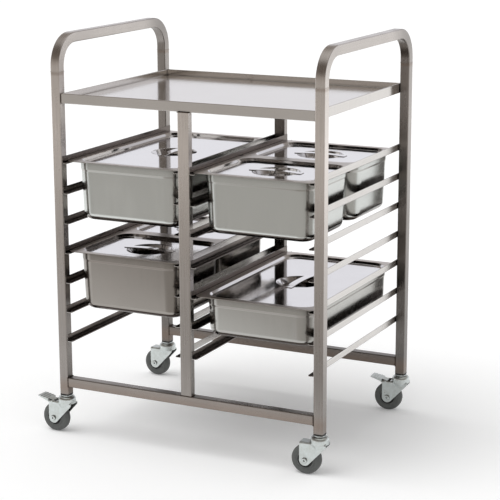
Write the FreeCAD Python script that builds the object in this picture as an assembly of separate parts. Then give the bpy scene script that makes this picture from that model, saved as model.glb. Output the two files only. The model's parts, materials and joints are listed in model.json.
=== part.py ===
import FreeCAD, Part

import math
import os

from FreeCAD import Vector

# Gastronorm tray trolley: a welded square-tube frame with two columns of pan runners, a tray shelf on
# top between two push handles, covered food pans on the runners and four swivel castors.
# Millimetres, +Z up. The origin is on the floor under the middle of the frame, and the front is -Y.

# Food pans
PAN_WIDTH = 325.0
FULL_PAN_LENGTH = 530.0
HALF_PAN_LENGTH = FULL_PAN_LENGTH / 2
DEEP_PAN = 150.0
SHALLOW_PAN = 100.0
PAN_SHEET = 0.8
PAN_FLANGE = 14.5
PAN_FLANGE_CORNER = 12.0
PAN_CORNER = 44.0
PAN_NECK = 20.0
PAN_STEP = 1.5
PAN_STEP_HEIGHT = 4.0
PAN_DRAFT_DEGREES = 2.5
PAN_BOTTOM_RADIUS = 20.0
PAN_BEND = 2.0

# Where each pan stands: how far its flange lies behind the front faces of the posts
UPPER_LEFT_SETBACK = 17.0
LOWER_LEFT_SETBACK = 14.0
UPPER_RIGHT_SETBACK = 10.0
LOWER_RIGHT_SETBACK = 16.0
HALF_PAN_GAP = 0.5

# Lids, pressed to drop into the pan's mouth, with a round hand recess and a strap across it
LID_SHEET = 0.8
LID_FIT = 1.5
LID_SINK = 7.0
LID_WALL_LEAN = 5.0
LID_BEND = 1.5
LID_SEAT_GAP = 0.1
CUP_RADIUS = 60.0
CUP_DEPTH = 15.0
CUP_WALL_LEAN = 7.0
STRAP_WIDTH = 20.0
STRAP_THICKNESS = 1.5
STRAP_LAND = 7.0
STRAP_RISE = 2.5

# Runners
RUNNER_LEVELS = 7
RUNNER_PITCH = 77.0
RUNNER_SHEET = 1.2
RUNNER_WEB = 18.0
RUNNER_LIP = 3.5
RUNNER_BEND = 2.0
RUNNER_LIP_BEND = 1.0
RUNNER_END_SETBACK = 3.0
PAN_SIDE_GAP = 1.3
PAN_BODY_GAP = 2.2
PAN_SEAT_GAP = 0.1

# Frame
TUBE = 25.0
TUBE_WALL = 1.2
TUBE_CORNER = 2.5
CENTRE_POST_WIDTH = 30.0
CENTRE_POST_DEPTH = 20.0
DEPTH_MARGIN = 15.0
RAIL_RISE = 20.0
BOTTOM_SLOT = 96.0
TOP_SLOT = 151.0
HANDLE_RISE = 145.0
HANDLE_BEND = 55.0
HANDLE_LEG = 12.0

# Top shelf
SHELF_RIM = 25.0
SHELF_SINK = 15.0
SHELF_SHEET = 1.5
SHELF_RIM_FOLD = 3.0
SHELF_RIM_ROUND = 1.2
SHELF_RETURN = 12.0
SHELF_FRONT_SETBACK = 5.0
SHELF_REAR_SEAT = 5.0

# Castor wheel and axle
WHEEL_RADIUS = 37.5
TYRE_WIDTH = 24.0
TYRE_SHOULDER = 8.0
TYRE_BORE = 19.5
CORE_RIM = 4.0
CORE_RIM_WIDTH = 20.0
CORE_WEB = 8.0
CORE_BOSS_RADIUS = 10.0
CORE_BOSS_LENGTH = 26.0
AXLE_RADIUS = 4.0
RUNNING_CLEARANCE = 0.05
AXLE_HEAD_RADIUS = 6.5
AXLE_HEAD = 4.0
AXLE_HEAD_ROUND = 2.0
AXLE_SOCKET_RADIUS = 2.5
AXLE_SOCKET_DEPTH = 2.0
NUT_ACROSS_CORNERS = 15.0
NUT_HEIGHT = 6.5

# Castor fork, swivel bearing and stem
TRAIL = 33.0
FORK_SHEET = 3.0
FORK_SIDE_GAP = 0.3
FORK_END_RADIUS = 14.0
FORK_NOSE = 21.0
FORK_NOSE_DROP = 8.0
FORK_BEND = 4.0
FORK_SHOULDER = 18.0
TYRE_TOP_GAP = 5.0
BELL_RADIUS = 23.0
BELL_ROUND = 8.0
BELL_HEIGHT = 15.5
RACE_GAP = 0.3
RACE_RADIUS = 14.5
RACE_THICKNESS = 3.2
STEM_RADIUS = 5.0
STEM_RISE = 28.0
RIVET_RADIUS = 8.0
RIVET_THICKNESS = 3.5
PLUG_FLANGE = 4.0
PLUG_LENGTH = 30.0
PLUG_FIT = 0.1

# Brake pedal, in the castor's own frame: X runs from the swivel axis towards the trailing wheel
PEDAL_PIVOT_X = 38.0
PEDAL_PIN_RADIUS = 2.0
PEDAL_SLEEVE_RADIUS = 3.6
PEDAL_SLEEVE_GAP = 0.8
PEDAL_WINDOW_X = 26.0
PEDAL_SHEET = 2.0
PEDAL_HEEL_X = 48.5
PEDAL_TIP_X = 80.0
PEDAL_HEEL_RISE = 3.5
PEDAL_TIP_RISE = 9.0
PEDAL_WIDTH = 34.0
PEDAL_FLANGE = 7.0
PEDAL_NECK_WIDTH = 20.0
PEDAL_SHOE_LENGTH = 4.5
PEDAL_SHOE_DROP = 5.0
PEDAL_RIDGES = 3
PEDAL_RIDGE_RADIUS = 1.2

# Which way each castor's wheel trails: degrees about +Z, where 180 is towards the left end
FRONT_LEFT_TRAIL = 177.0
FRONT_RIGHT_TRAIL = 183.0
REAR_LEFT_TRAIL = 178.0
REAR_RIGHT_TRAIL = 184.0

# Places that follow from the sizes above
COLUMN = PAN_WIDTH + 2 * (PAN_SIDE_GAP + RUNNER_SHEET)
WIDTH = 2 * TUBE + CENTRE_POST_WIDTH + 2 * COLUMN
DEPTH = FULL_PAN_LENGTH + 2 * DEPTH_MARGIN
RUNNER_REACH = RUNNER_SHEET + PAN_SIDE_GAP + PAN_FLANGE - PAN_BODY_GAP
CROWN_Z = 2 * WHEEL_RADIUS + TYRE_TOP_GAP
CROWN_TOP_Z = CROWN_Z + FORK_SHEET
RACE_Z = CROWN_TOP_Z + BELL_HEIGHT + RACE_GAP
PLUG_Z = RACE_Z + RACE_THICKNESS
FOOT_Z = PLUG_Z + PLUG_FLANGE
RAIL_Z = FOOT_Z + RAIL_RISE
LOWEST_RUNNER_Z = RAIL_Z + TUBE + BOTTOM_SLOT
SHELF_Z = LOWEST_RUNNER_Z + (RUNNER_LEVELS - 1) * RUNNER_PITCH + TOP_SLOT
SHELF_TOP_Z = SHELF_Z + SHELF_RIM
HEIGHT = SHELF_TOP_Z + HANDLE_RISE
HANDLE_RADIUS = HANDLE_BEND + TUBE / 2
HANDLE_Z = HEIGHT - HANDLE_BEND - TUBE - HANDLE_LEG
FORK_GAP = CORE_BOSS_LENGTH + 2 * FORK_SIDE_GAP
FORK_WIDTH = FORK_GAP + 2 * FORK_SHEET
PEDAL_PIVOT_Z = CROWN_Z
POST_X = (WIDTH - TUBE) / 2
POST_Y = (DEPTH - TUBE) / 2
CENTRE_POST_Y = (DEPTH - CENTRE_POST_DEPTH) / 2

X_AXIS = Vector(1, 0, 0)
Y_AXIS = Vector(0, 1, 0)
Z_AXIS = Vector(0, 0, 1)
ORIGIN = Vector(0, 0, 0)
TOLERANCE = 1e-4


def moved(shape, x, y, z):
    copy = shape.copy()
    copy.translate(Vector(x, y, z))
    return copy


def rounded_rect(width, length, radius, z):
    """A closed wire round the Z axis: a rectangle, X by Y, with rounded corners."""
    arcs = []
    for quarter, (side_x, side_y) in enumerate(((1, -1), (1, 1), (-1, 1), (-1, -1))):
        centre_x = side_x * (width / 2 - radius)
        centre_y = side_y * (length / 2 - radius)
        points = []
        for degrees in (-90, -45, 0):
            angle = math.radians(90 * quarter + degrees)
            x = centre_x + radius * math.cos(angle)
            y = centre_y + radius * math.sin(angle)
            points.append(Vector(x, y, z))
        arcs.append(points)
    edges = []
    for here, ahead in zip(arcs, arcs[1:] + arcs[:1]):
        edges.append(Part.Arc(*here).toShape())
        edges.append(Part.LineSegment(here[-1], ahead[0]).toShape())
    return Part.Wire(edges)


def rounded_block(width, length, radius, low_z, high_z):
    face = Part.Face(rounded_rect(width, length, radius, low_z))
    return face.extrude(Vector(0, 0, high_z - low_z))


def leaning_block(width, length, radius, top_z, lean, bottom_z):
    """A block whose four sides lean in by the same amount from its top down to its bottom."""
    top = rounded_rect(width, length, radius, top_z)
    bottom = rounded_rect(width - 2 * lean, length - 2 * lean, radius - lean, bottom_z)
    return Part.makeLoft([top, bottom], True, True)


def rectangle_edges(shape, width, length, z):
    """The edges of a shape that run along a rounded rectangle of this size at this height."""
    found = []
    for edge in shape.Edges:
        points = [vertex.Point for vertex in edge.Vertexes]
        level = all(abs(point.z - z) < TOLERANCE for point in points)
        on_sides = all(
            abs(abs(point.x) - width / 2) < TOLERANCE or abs(abs(point.y) - length / 2) < TOLERANCE
            for point in points
        )
        if level and on_sides:
            found.append(edge)
    return found


def circle_edges(shape, radius, z):
    """The level circular edges of a shape with this radius at this height."""
    found = []
    for edge in shape.Edges:
        if isinstance(edge.Curve, Part.Circle):
            if abs(edge.Curve.Radius - radius) < TOLERANCE and abs(edge.Curve.Center.z - z) < TOLERANCE:
                found.append(edge)
    return found


def side_edges(shape, points):
    """The edges of a shape that run along Y through any of the given (x, z) points."""
    found = []
    for edge in shape.Edges:
        start, end = edge.Vertexes[0].Point, edge.Vertexes[-1].Point
        if abs(start.y - end.y) < TOLERANCE:
            continue
        for x, z in points:
            near = abs(start.x - x) + abs(end.x - x) + abs(start.z - z) + abs(end.z - z)
            if near < TOLERANCE:
                found.append(edge)
    return found


def side_prism(points, low_y, high_y):
    """A prism along Y whose outline is a polygon of (x, z) points."""
    corners = [Vector(x, low_y, z) for x, z in points]
    outline = Part.makePolygon(corners + corners[:1])
    return Part.Face(outline).extrude(Vector(0, high_y - low_y, 0))


def axle_cylinder(radius, low_y, high_y, x, z):
    return Part.makeCylinder(radius, high_y - low_y, Vector(x, low_y, z), Y_AXIS)


def square_tube(width, depth, length):
    """A hollow tube standing on the XY plane."""
    outer = rounded_block(width, depth, TUBE_CORNER, 0, length)
    bore_corner = TUBE_CORNER - TUBE_WALL
    bore = rounded_block(width - 2 * TUBE_WALL, depth - 2 * TUBE_WALL, bore_corner, 0, length)
    return outer.cut(bore)


def corner_post(side_x, side_y):
    tube = square_tube(TUBE, TUBE, HANDLE_Z - FOOT_Z)
    return moved(tube, side_x * POST_X, side_y * POST_Y, FOOT_Z)


def centre_post(side_y):
    low_z = RAIL_Z + TUBE
    tube = square_tube(CENTRE_POST_WIDTH, CENTRE_POST_DEPTH, SHELF_Z - low_z)
    return moved(tube, 0, side_y * CENTRE_POST_Y, low_z)


def bottom_rail(side_y):
    length = WIDTH - 2 * TUBE
    tube = square_tube(TUBE, TUBE, length)
    tube.rotate(ORIGIN, Y_AXIS, 90)
    return moved(tube, -length / 2, side_y * POST_Y, RAIL_Z + TUBE / 2)


def handle_bar(section, corner):
    """Half of a handle's bent bar, from the weld above the front leg to the middle of the grip."""
    profile = Part.Face(rounded_rect(section, section, corner, 0))
    profile.translate(Vector(0, -POST_Y, HANDLE_Z))
    leg = profile.extrude(Vector(0, 0, HANDLE_LEG))
    bend_start = moved(profile, 0, 0, HANDLE_LEG)
    bend_centre = Vector(0, HANDLE_RADIUS - POST_Y, HANDLE_Z + HANDLE_LEG)
    bend = bend_start.revolve(bend_centre, -X_AXIS, 90)
    bend_end = bend_start.copy()
    bend_end.rotate(bend_centre, -X_AXIS, 90)
    grip = bend_end.extrude(Vector(0, POST_Y - HANDLE_RADIUS, 0))
    return leg.fuse([bend, grip])


def handle(side_x):
    bars = []
    for section, corner in ((TUBE, TUBE_CORNER), (TUBE - 2 * TUBE_WALL, TUBE_CORNER - TUBE_WALL)):
        front_half = handle_bar(section, corner)
        rear_half = front_half.mirror(ORIGIN, Y_AXIS)
        bars.append(front_half.fuse(rear_half).removeSplitter())
    outer, bore = bars
    return moved(outer.cut(bore), side_x * POST_X, 0, 0)


def top_shelf():
    """One folded sheet: a sunk floor, a raised hemmed rim and a return fold under the rim."""
    width = WIDTH - 2 * TUBE
    front = -DEPTH / 2 + SHELF_FRONT_SETBACK
    rear = DEPTH / 2 - CENTRE_POST_DEPTH + SHELF_REAR_SEAT
    length = rear - front
    floor_z = SHELF_RIM - SHELF_SINK
    corner = SHELF_RIM_ROUND

    def ring(wall, low_z, high_z):
        outer = rounded_block(width, length, corner, low_z, high_z)
        inner = Part.makeBox(width - 2 * wall, length - 2 * wall, high_z - low_z)
        inner.translate(Vector(wall - width / 2, wall - length / 2, low_z))
        return outer.cut(inner)

    floor = rounded_block(width, length, corner, floor_z - SHELF_SHEET, floor_z)
    rim = ring(SHELF_RIM_FOLD, 0, SHELF_RIM)
    fold = ring(SHELF_RETURN, 0, SHELF_SHEET)
    shelf = rim.fuse([floor, fold]).removeSplitter()
    hem = rectangle_edges(shelf, width, length, SHELF_RIM)
    inner_width = width - 2 * SHELF_RIM_FOLD
    inner_length = length - 2 * SHELF_RIM_FOLD
    hem += rectangle_edges(shelf, inner_width, inner_length, SHELF_RIM)
    shelf = shelf.makeFillet(SHELF_RIM_ROUND, hem)
    return moved(shelf, 0, (front + rear) / 2, SHELF_Z)


def runner():
    """A runner whose web stands against the plane X = 0 and whose ledge reaches towards +X."""
    inner = RUNNER_REACH - RUNNER_SHEET
    half_length = DEPTH / 2 - RUNNER_END_SETBACK
    outline = (
        (0, 0),
        (RUNNER_REACH, 0),
        (RUNNER_REACH, RUNNER_LIP),
        (inner, RUNNER_LIP),
        (inner, RUNNER_SHEET),
        (RUNNER_SHEET, RUNNER_SHEET),
        (RUNNER_SHEET, RUNNER_WEB),
        (0, RUNNER_WEB),
    )
    profile = side_prism(outline, -half_length, half_length)
    web_inside = side_edges(profile, [(RUNNER_SHEET, RUNNER_SHEET)])
    profile = profile.makeFillet(RUNNER_BEND, web_inside)
    profile = profile.makeFillet(RUNNER_BEND + RUNNER_SHEET, side_edges(profile, [(0, 0)]))
    lip_inside = side_edges(profile, [(inner, RUNNER_SHEET)])
    profile = profile.makeFillet(RUNNER_LIP_BEND, lip_inside)
    lip_outside = side_edges(profile, [(RUNNER_REACH, 0)])
    return profile.makeFillet(RUNNER_LIP_BEND + RUNNER_SHEET, lip_outside)


def level_z(level):
    """The underside of a runner, where level 0 is the lowest."""
    return LOWEST_RUNNER_Z + level * RUNNER_PITCH


def runner_bank(face_x, reaches_right):
    """All the runners on one face of the posts."""
    single = runner()
    if not reaches_right:
        single = single.mirror(ORIGIN, X_AXIS)
    runners = [moved(single, face_x, 0, level_z(level)) for level in range(RUNNER_LEVELS)]
    return Part.makeCompound(runners)


def pan_mouth(length):
    """Outside width and length of a pan's neck."""
    return PAN_WIDTH - 2 * PAN_FLANGE, length - 2 * PAN_FLANGE


def pan_body(length, depth, inset, top_z):
    """The neck, stacking step and tapered body, drawn in by a sheet thickness for the inside."""
    width, length = (size - 2 * inset for size in pan_mouth(length))
    corner = PAN_CORNER - inset
    step_z = -PAN_NECK
    body_z = step_z - PAN_STEP_HEIGHT
    bottom_z = inset - depth
    taper = (body_z - bottom_z) * math.tan(math.radians(PAN_DRAFT_DEGREES))
    neck = rounded_block(width, length, corner, step_z, top_z)
    step = leaning_block(width, length, corner, step_z, PAN_STEP, body_z)
    width, length, corner = width - 2 * PAN_STEP, length - 2 * PAN_STEP, corner - PAN_STEP
    body = leaning_block(width, length, corner, body_z, taper, bottom_z)
    bottom = rectangle_edges(body, width - 2 * taper, length - 2 * taper, bottom_z)
    body = body.makeFillet(PAN_BOTTOM_RADIUS - inset, bottom)
    return neck.fuse([step, body]).removeSplitter()


def pan(length, depth):
    """A pressed pan with the underside of its flange in the plane Z = 0."""
    width_out, length_out = pan_mouth(length)
    flange = rounded_block(PAN_WIDTH, length, PAN_FLANGE_CORNER, 0, PAN_SHEET)
    shell = flange.fuse(pan_body(length, depth, 0, PAN_SHEET)).removeSplitter()
    shell = shell.makeFillet(PAN_BEND, rectangle_edges(shell, width_out, length_out, 0))
    shell = shell.cut(pan_body(length, depth, PAN_SHEET, PAN_SHEET))
    mouth = rectangle_edges(shell, width_out - 2 * PAN_SHEET, length_out - 2 * PAN_SHEET, PAN_SHEET)
    return shell.makeFillet(PAN_BEND + PAN_SHEET, mouth)


def lid_panel_z():
    """Upper face of a lid's sunk panel above the underside of its rim."""
    return LID_SHEET - LID_SINK


def lid(length):
    """A pressed lid with the underside of its rim in the plane Z = 0."""
    gap = PAN_SHEET + LID_FIT
    width_out, length_out = (size - 2 * gap for size in pan_mouth(length))
    corner = PAN_CORNER - gap
    width_in, length_in = width_out - 2 * LID_SHEET, length_out - 2 * LID_SHEET
    panel_z = lid_panel_z()
    under_z = panel_z - LID_SHEET
    cup_z = panel_z - CUP_DEPTH

    def cup(inset, low_z, high_z):
        radius = CUP_RADIUS - inset
        return Part.makeCone(radius - CUP_WALL_LEAN, radius, high_z - low_z, Vector(0, 0, low_z))

    rim = rounded_block(PAN_WIDTH, length, PAN_FLANGE_CORNER, 0, LID_SHEET)
    dish = leaning_block(width_out, length_out, corner, 0, LID_WALL_LEAN, under_z)
    shell = rim.fuse([dish, cup(0, cup_z - LID_SHEET, under_z)]).removeSplitter()
    folds = rectangle_edges(shell, width_out, length_out, 0) + circle_edges(shell, CUP_RADIUS, under_z)
    shell = shell.makeFillet(LID_BEND, folds)
    outer_folds = rectangle_edges(
        shell, width_out - 2 * LID_WALL_LEAN, length_out - 2 * LID_WALL_LEAN, under_z
    )
    outer_folds += circle_edges(shell, CUP_RADIUS - CUP_WALL_LEAN, cup_z - LID_SHEET)
    shell = shell.makeFillet(LID_BEND + LID_SHEET, outer_folds)

    hollow = leaning_block(width_in, length_in, corner - LID_SHEET, LID_SHEET, LID_WALL_LEAN, panel_z)
    hollow = hollow.fuse(cup(LID_SHEET, cup_z, panel_z)).removeSplitter()
    inner_folds = rectangle_edges(
        hollow, width_in - 2 * LID_WALL_LEAN, length_in - 2 * LID_WALL_LEAN, panel_z
    )
    inner_folds += circle_edges(hollow, CUP_RADIUS - LID_SHEET - CUP_WALL_LEAN, cup_z)
    hollow = hollow.makeFillet(LID_BEND, inner_folds)

    shell = shell.cut(hollow)
    mouth = rectangle_edges(shell, width_in, length_in, LID_SHEET)
    mouth += circle_edges(shell, CUP_RADIUS - LID_SHEET, panel_z)
    return shell.makeFillet(LID_BEND + LID_SHEET, mouth)


def lid_strap(length):
    """A strip handle over the hand recess, flat on the panel at both ends, along the lid's longer side."""
    low_z = lid_panel_z()
    high_z = low_z + STRAP_THICKNESS
    foot = CUP_RADIUS + LID_BEND + LID_SHEET
    end = foot + STRAP_LAND

    def line(start, finish):
        return Part.LineSegment(Vector(0, *start), Vector(0, *finish)).toShape()

    def arch(z, half_span):
        crown = Vector(0, 0, z + STRAP_RISE)
        return Part.Arc(Vector(0, -half_span, z), crown, Vector(0, half_span, z)).toShape()

    edges = [
        line((-end, low_z), (-foot, low_z)),
        arch(low_z, foot),
        line((foot, low_z), (end, low_z)),
        line((end, low_z), (end, high_z)),
        line((end, high_z), (foot, high_z)),
        arch(high_z, foot),
        line((-foot, high_z), (-end, high_z)),
        line((-end, high_z), (-end, low_z)),
    ]
    strip = Part.Face(Part.Wire(Part.__sortEdges__(edges))).extrude(Vector(STRAP_WIDTH, 0, 0))
    strip.translate(Vector(-STRAP_WIDTH / 2, 0, 0))
    if length < PAN_WIDTH:
        strip.rotate(ORIGIN, Z_AXIS, 90)
    return strip


def castor_plug():
    """A nylon plug in the end of a leg, with a flange between the leg and the bearing."""
    insert = TUBE - 2 * TUBE_WALL - 2 * PLUG_FIT
    flange = rounded_block(TUBE, TUBE, TUBE_CORNER, PLUG_Z, FOOT_Z)
    body = rounded_block(insert, insert, TUBE_CORNER - TUBE_WALL, FOOT_Z, FOOT_Z + PLUG_LENGTH)
    bore_radius = STEM_RADIUS + RUNNING_CLEARANCE
    bore = Part.makeCylinder(bore_radius, PLUG_FLANGE + PLUG_LENGTH, Vector(0, 0, PLUG_Z))
    return flange.fuse(body).cut(bore)


def castor_stem():
    """The swivel pin with its upper bearing plate and the riveted head under the fork's crown."""
    rivet_top = CROWN_Z - RACE_GAP
    rivet_z = rivet_top - RIVET_THICKNESS
    pin = Part.makeCylinder(STEM_RADIUS, FOOT_Z + STEM_RISE - rivet_z, Vector(0, 0, rivet_z))
    plate = Part.makeCylinder(RACE_RADIUS, RACE_THICKNESS, Vector(0, 0, RACE_Z))
    head = Part.makeCone(STEM_RADIUS, RIVET_RADIUS, RIVET_THICKNESS, Vector(0, 0, rivet_z))
    return pin.fuse([plate, head])


def castor_fork(braked):
    """A pressed fork: two legs under a crown, swelling at their shoulders into the bearing bell."""
    nose_z = CROWN_TOP_Z - FORK_NOSE_DROP
    tail_x = TRAIL + FORK_END_RADIUS
    run_x, run_z = TRAIL + FORK_NOSE, WHEEL_RADIUS - nose_z
    nose_to_axle = math.hypot(run_x, run_z)
    slope = math.atan2(run_z, run_x) - math.asin(FORK_END_RADIUS / nose_to_axle)
    tangent_length = math.sqrt(nose_to_axle**2 - FORK_END_RADIUS**2)
    tangent_x = tangent_length * math.cos(slope) - FORK_NOSE
    tangent_z = nose_z + tangent_length * math.sin(slope)
    under = math.atan2(tangent_z - WHEEL_RADIUS, tangent_x - TRAIL) / 2
    half_width = FORK_WIDTH / 2

    def corner(x, z):
        return Vector(x, -half_width, z)

    nose_top = corner(-FORK_NOSE, CROWN_TOP_Z)
    nose_bottom = corner(-FORK_NOSE, nose_z)
    tangent = corner(tangent_x, tangent_z)
    low_x = TRAIL + FORK_END_RADIUS * math.cos(under)
    low_z = WHEEL_RADIUS + FORK_END_RADIUS * math.sin(under)
    tail_bottom = corner(tail_x, WHEEL_RADIUS)
    tail_top = corner(tail_x, CROWN_TOP_Z)
    edges = [
        Part.LineSegment(nose_top, nose_bottom).toShape(),
        Part.LineSegment(nose_bottom, tangent).toShape(),
        Part.Arc(tangent, corner(low_x, low_z), tail_bottom).toShape(),
        Part.LineSegment(tail_bottom, tail_top).toShape(),
        Part.LineSegment(tail_top, nose_top).toShape(),
    ]
    side = Part.Face(Part.Wire(edges))
    block = side.extrude(Vector(0, FORK_WIDTH, 0))
    bends = []
    for edge in block.Edges:
        points = [vertex.Point for vertex in edge.Vertexes]
        on_top = all(abs(point.z - CROWN_TOP_Z) < TOLERANCE for point in points)
        if on_top and abs(points[0].y - points[-1].y) < TOLERANCE:
            bends.append(edge)
    block = block.makeFillet(FORK_BEND, bends)
    shoulder_z = CROWN_TOP_Z - FORK_SHOULDER
    shoulder = Part.makeCone(half_width, BELL_RADIUS, FORK_SHOULDER, Vector(0, 0, shoulder_z))
    shoulder = shoulder.common(
        moved(side, 0, half_width - BELL_RADIUS, 0).extrude(Vector(0, 2 * BELL_RADIUS, 0))
    )
    bell = Part.makeCylinder(BELL_RADIUS, FORK_SHEET + BELL_HEIGHT, Vector(0, 0, CROWN_Z))
    bell_top = circle_edges(bell, BELL_RADIUS, CROWN_TOP_Z + BELL_HEIGHT)
    bell = bell.makeFillet(BELL_ROUND, bell_top)

    slot_length = FORK_NOSE + tail_x
    slot = Part.makeBox(slot_length, FORK_GAP, CROWN_Z, Vector(-FORK_NOSE, -FORK_GAP / 2, 0))
    fork = block.fuse(shoulder).cut(slot)
    if braked:
        window_length = tail_x - PEDAL_WINDOW_X
        window_corner = Vector(PEDAL_WINDOW_X, -FORK_GAP / 2, CROWN_Z)
        fork = fork.cut(Part.makeBox(window_length, FORK_GAP, 2 * FORK_SHEET, window_corner))
        pin_hole = PEDAL_PIN_RADIUS + RUNNING_CLEARANCE
        fork = fork.cut(axle_cylinder(pin_hole, -half_width, half_width, PEDAL_PIVOT_X, PEDAL_PIVOT_Z))

    fork = fork.fuse(bell).removeSplitter()
    bore_radius = STEM_RADIUS + RUNNING_CLEARANCE
    bore = Part.makeCylinder(bore_radius, FORK_SHEET + BELL_HEIGHT, Vector(0, 0, CROWN_Z))
    axle_hole = AXLE_RADIUS + RUNNING_CLEARANCE
    return fork.cut([bore, axle_cylinder(axle_hole, -half_width, half_width, TRAIL, WHEEL_RADIUS)])


def castor_axle():
    """A bolt through fork and wheel, with a round socket head on one side and a nut on the other."""
    half_width = FORK_WIDTH / 2
    head_end = half_width + AXLE_HEAD
    nut_end = -half_width - NUT_HEIGHT
    shank = axle_cylinder(AXLE_RADIUS, nut_end, half_width, TRAIL, WHEEL_RADIUS)
    head = axle_cylinder(AXLE_HEAD_RADIUS, half_width, head_end, TRAIL, WHEEL_RADIUS)
    face_edges = [edge for edge in head.Edges if abs(edge.CenterOfMass.y - head_end) < TOLERANCE]
    head = head.makeFillet(AXLE_HEAD_ROUND, face_edges)
    socket_end = head_end - AXLE_SOCKET_DEPTH
    head = head.cut(axle_cylinder(AXLE_SOCKET_RADIUS, socket_end, head_end, TRAIL, WHEEL_RADIUS))
    corner_radius = NUT_ACROSS_CORNERS / 2
    corners = []
    for sixth in range(6):
        angle = math.radians(60 * sixth)
        corner_x = TRAIL + corner_radius * math.cos(angle)
        corners.append((corner_x, WHEEL_RADIUS + corner_radius * math.sin(angle)))
    nut = side_prism(corners, nut_end, -half_width)
    return shank.fuse([head, nut])


def wheel_core():
    """A moulded core: boss, web and rim turned about the axle."""
    boss, web, rim = CORE_BOSS_LENGTH / 2, CORE_WEB / 2, CORE_RIM_WIDTH / 2
    core = axle_cylinder(CORE_BOSS_RADIUS, -boss, boss, TRAIL, WHEEL_RADIUS)
    disc = axle_cylinder(TYRE_BORE, -web, web, TRAIL, WHEEL_RADIUS)
    ring = axle_cylinder(TYRE_BORE, -rim, rim, TRAIL, WHEEL_RADIUS)
    ring = ring.cut(axle_cylinder(TYRE_BORE - CORE_RIM, -rim, rim, TRAIL, WHEEL_RADIUS))
    core = core.fuse([disc, ring]).removeSplitter()
    return core.cut(axle_cylinder(AXLE_RADIUS + RUNNING_CLEARANCE, -boss, boss, TRAIL, WHEEL_RADIUS))


def tyre():
    half = TYRE_WIDTH / 2
    ring = axle_cylinder(WHEEL_RADIUS, -half, half, TRAIL, WHEEL_RADIUS)
    tread_edges = [
        edge
        for edge in ring.Edges
        if abs(abs(edge.CenterOfMass.y) - half) < TOLERANCE
    ]
    ring = ring.makeFillet(TYRE_SHOULDER, tread_edges)
    return ring.cut(axle_cylinder(TYRE_BORE, -half, half, TRAIL, WHEEL_RADIUS))


def brake_pedal():
    """A foot pedal on a cross pin between the fork's legs, with a shoe that stops above the tyre."""
    heel_z = CROWN_TOP_Z + PEDAL_HEEL_RISE
    tip_z = CROWN_TOP_Z + PEDAL_TIP_RISE
    half_width = PEDAL_WIDTH / 2
    half_neck = PEDAL_NECK_WIDTH / 2
    half_sleeve = FORK_GAP / 2 - PEDAL_SLEEVE_GAP
    tread = side_prism(
        (
            (PEDAL_HEEL_X, heel_z - PEDAL_SHEET),
            (PEDAL_TIP_X, tip_z - PEDAL_SHEET),
            (PEDAL_TIP_X, tip_z),
            (PEDAL_HEEL_X, heel_z),
        ),
        -half_width,
        half_width,
    )
    cheek = (
        (PEDAL_HEEL_X, heel_z - PEDAL_FLANGE),
        (PEDAL_TIP_X, tip_z - PEDAL_SHEET),
        (PEDAL_TIP_X, tip_z),
        (PEDAL_HEEL_X, heel_z),
    )
    left_cheek = side_prism(cheek, half_width - PEDAL_SHEET, half_width)
    right_cheek = side_prism(cheek, -half_width, PEDAL_SHEET - half_width)
    neck = side_prism(
        (
            (PEDAL_PIVOT_X, PEDAL_PIVOT_Z + PEDAL_SLEEVE_RADIUS - PEDAL_SHEET),
            (PEDAL_HEEL_X, heel_z - PEDAL_SHEET),
            (PEDAL_HEEL_X, heel_z),
            (PEDAL_PIVOT_X, PEDAL_PIVOT_Z + PEDAL_SLEEVE_RADIUS),
        ),
        -half_neck,
        half_neck,
    )
    shoe_end_x = PEDAL_HEEL_X + PEDAL_SHOE_LENGTH
    shoe_z = PEDAL_PIVOT_Z - PEDAL_SHOE_DROP
    shoe = side_prism(
        ((PEDAL_HEEL_X, shoe_z), (shoe_end_x, shoe_z), (shoe_end_x, heel_z), (PEDAL_HEEL_X, heel_z)),
        -half_neck,
        half_neck,
    )
    sleeve = axle_cylinder(PEDAL_SLEEVE_RADIUS, -half_sleeve, half_sleeve, PEDAL_PIVOT_X, PEDAL_PIVOT_Z)
    half_fork = FORK_WIDTH / 2
    pin = axle_cylinder(PEDAL_PIN_RADIUS, -half_fork, half_fork, PEDAL_PIVOT_X, PEDAL_PIVOT_Z)
    pieces = [left_cheek, right_cheek, neck, shoe, sleeve, pin]
    for ridge in range(PEDAL_RIDGES):
        share = (ridge + 1) / (PEDAL_RIDGES + 1)
        ridge_x = PEDAL_HEEL_X + share * (PEDAL_TIP_X - PEDAL_HEEL_X)
        ridge_z = heel_z + share * (tip_z - heel_z)
        pieces.append(axle_cylinder(PEDAL_RIDGE_RADIUS, -half_width, half_width, ridge_x, ridge_z))
    return tread.fuse(pieces).removeSplitter()


nodes = {}

for end, side_x in (("left", -1), ("right", 1)):
    nodes[f"{end}_handle"] = handle(side_x)
    for face, side_y in (("front", -1), ("rear", 1)):
        nodes[f"{face}_{end}_post"] = corner_post(side_x, side_y)
for face, side_y in (("front", -1), ("rear", 1)):
    nodes[f"{face}_centre_post"] = centre_post(side_y)
    nodes[f"{face}_bottom_rail"] = bottom_rail(side_y)
nodes["top_shelf"] = top_shelf()

outer_face_x = WIDTH / 2 - TUBE
inner_face_x = CENTRE_POST_WIDTH / 2
nodes["left_outer_runners"] = runner_bank(-outer_face_x, True)
nodes["left_inner_runners"] = runner_bank(-inner_face_x, False)
nodes["right_inner_runners"] = runner_bank(inner_face_x, True)
nodes["right_outer_runners"] = runner_bank(outer_face_x, False)

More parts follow.
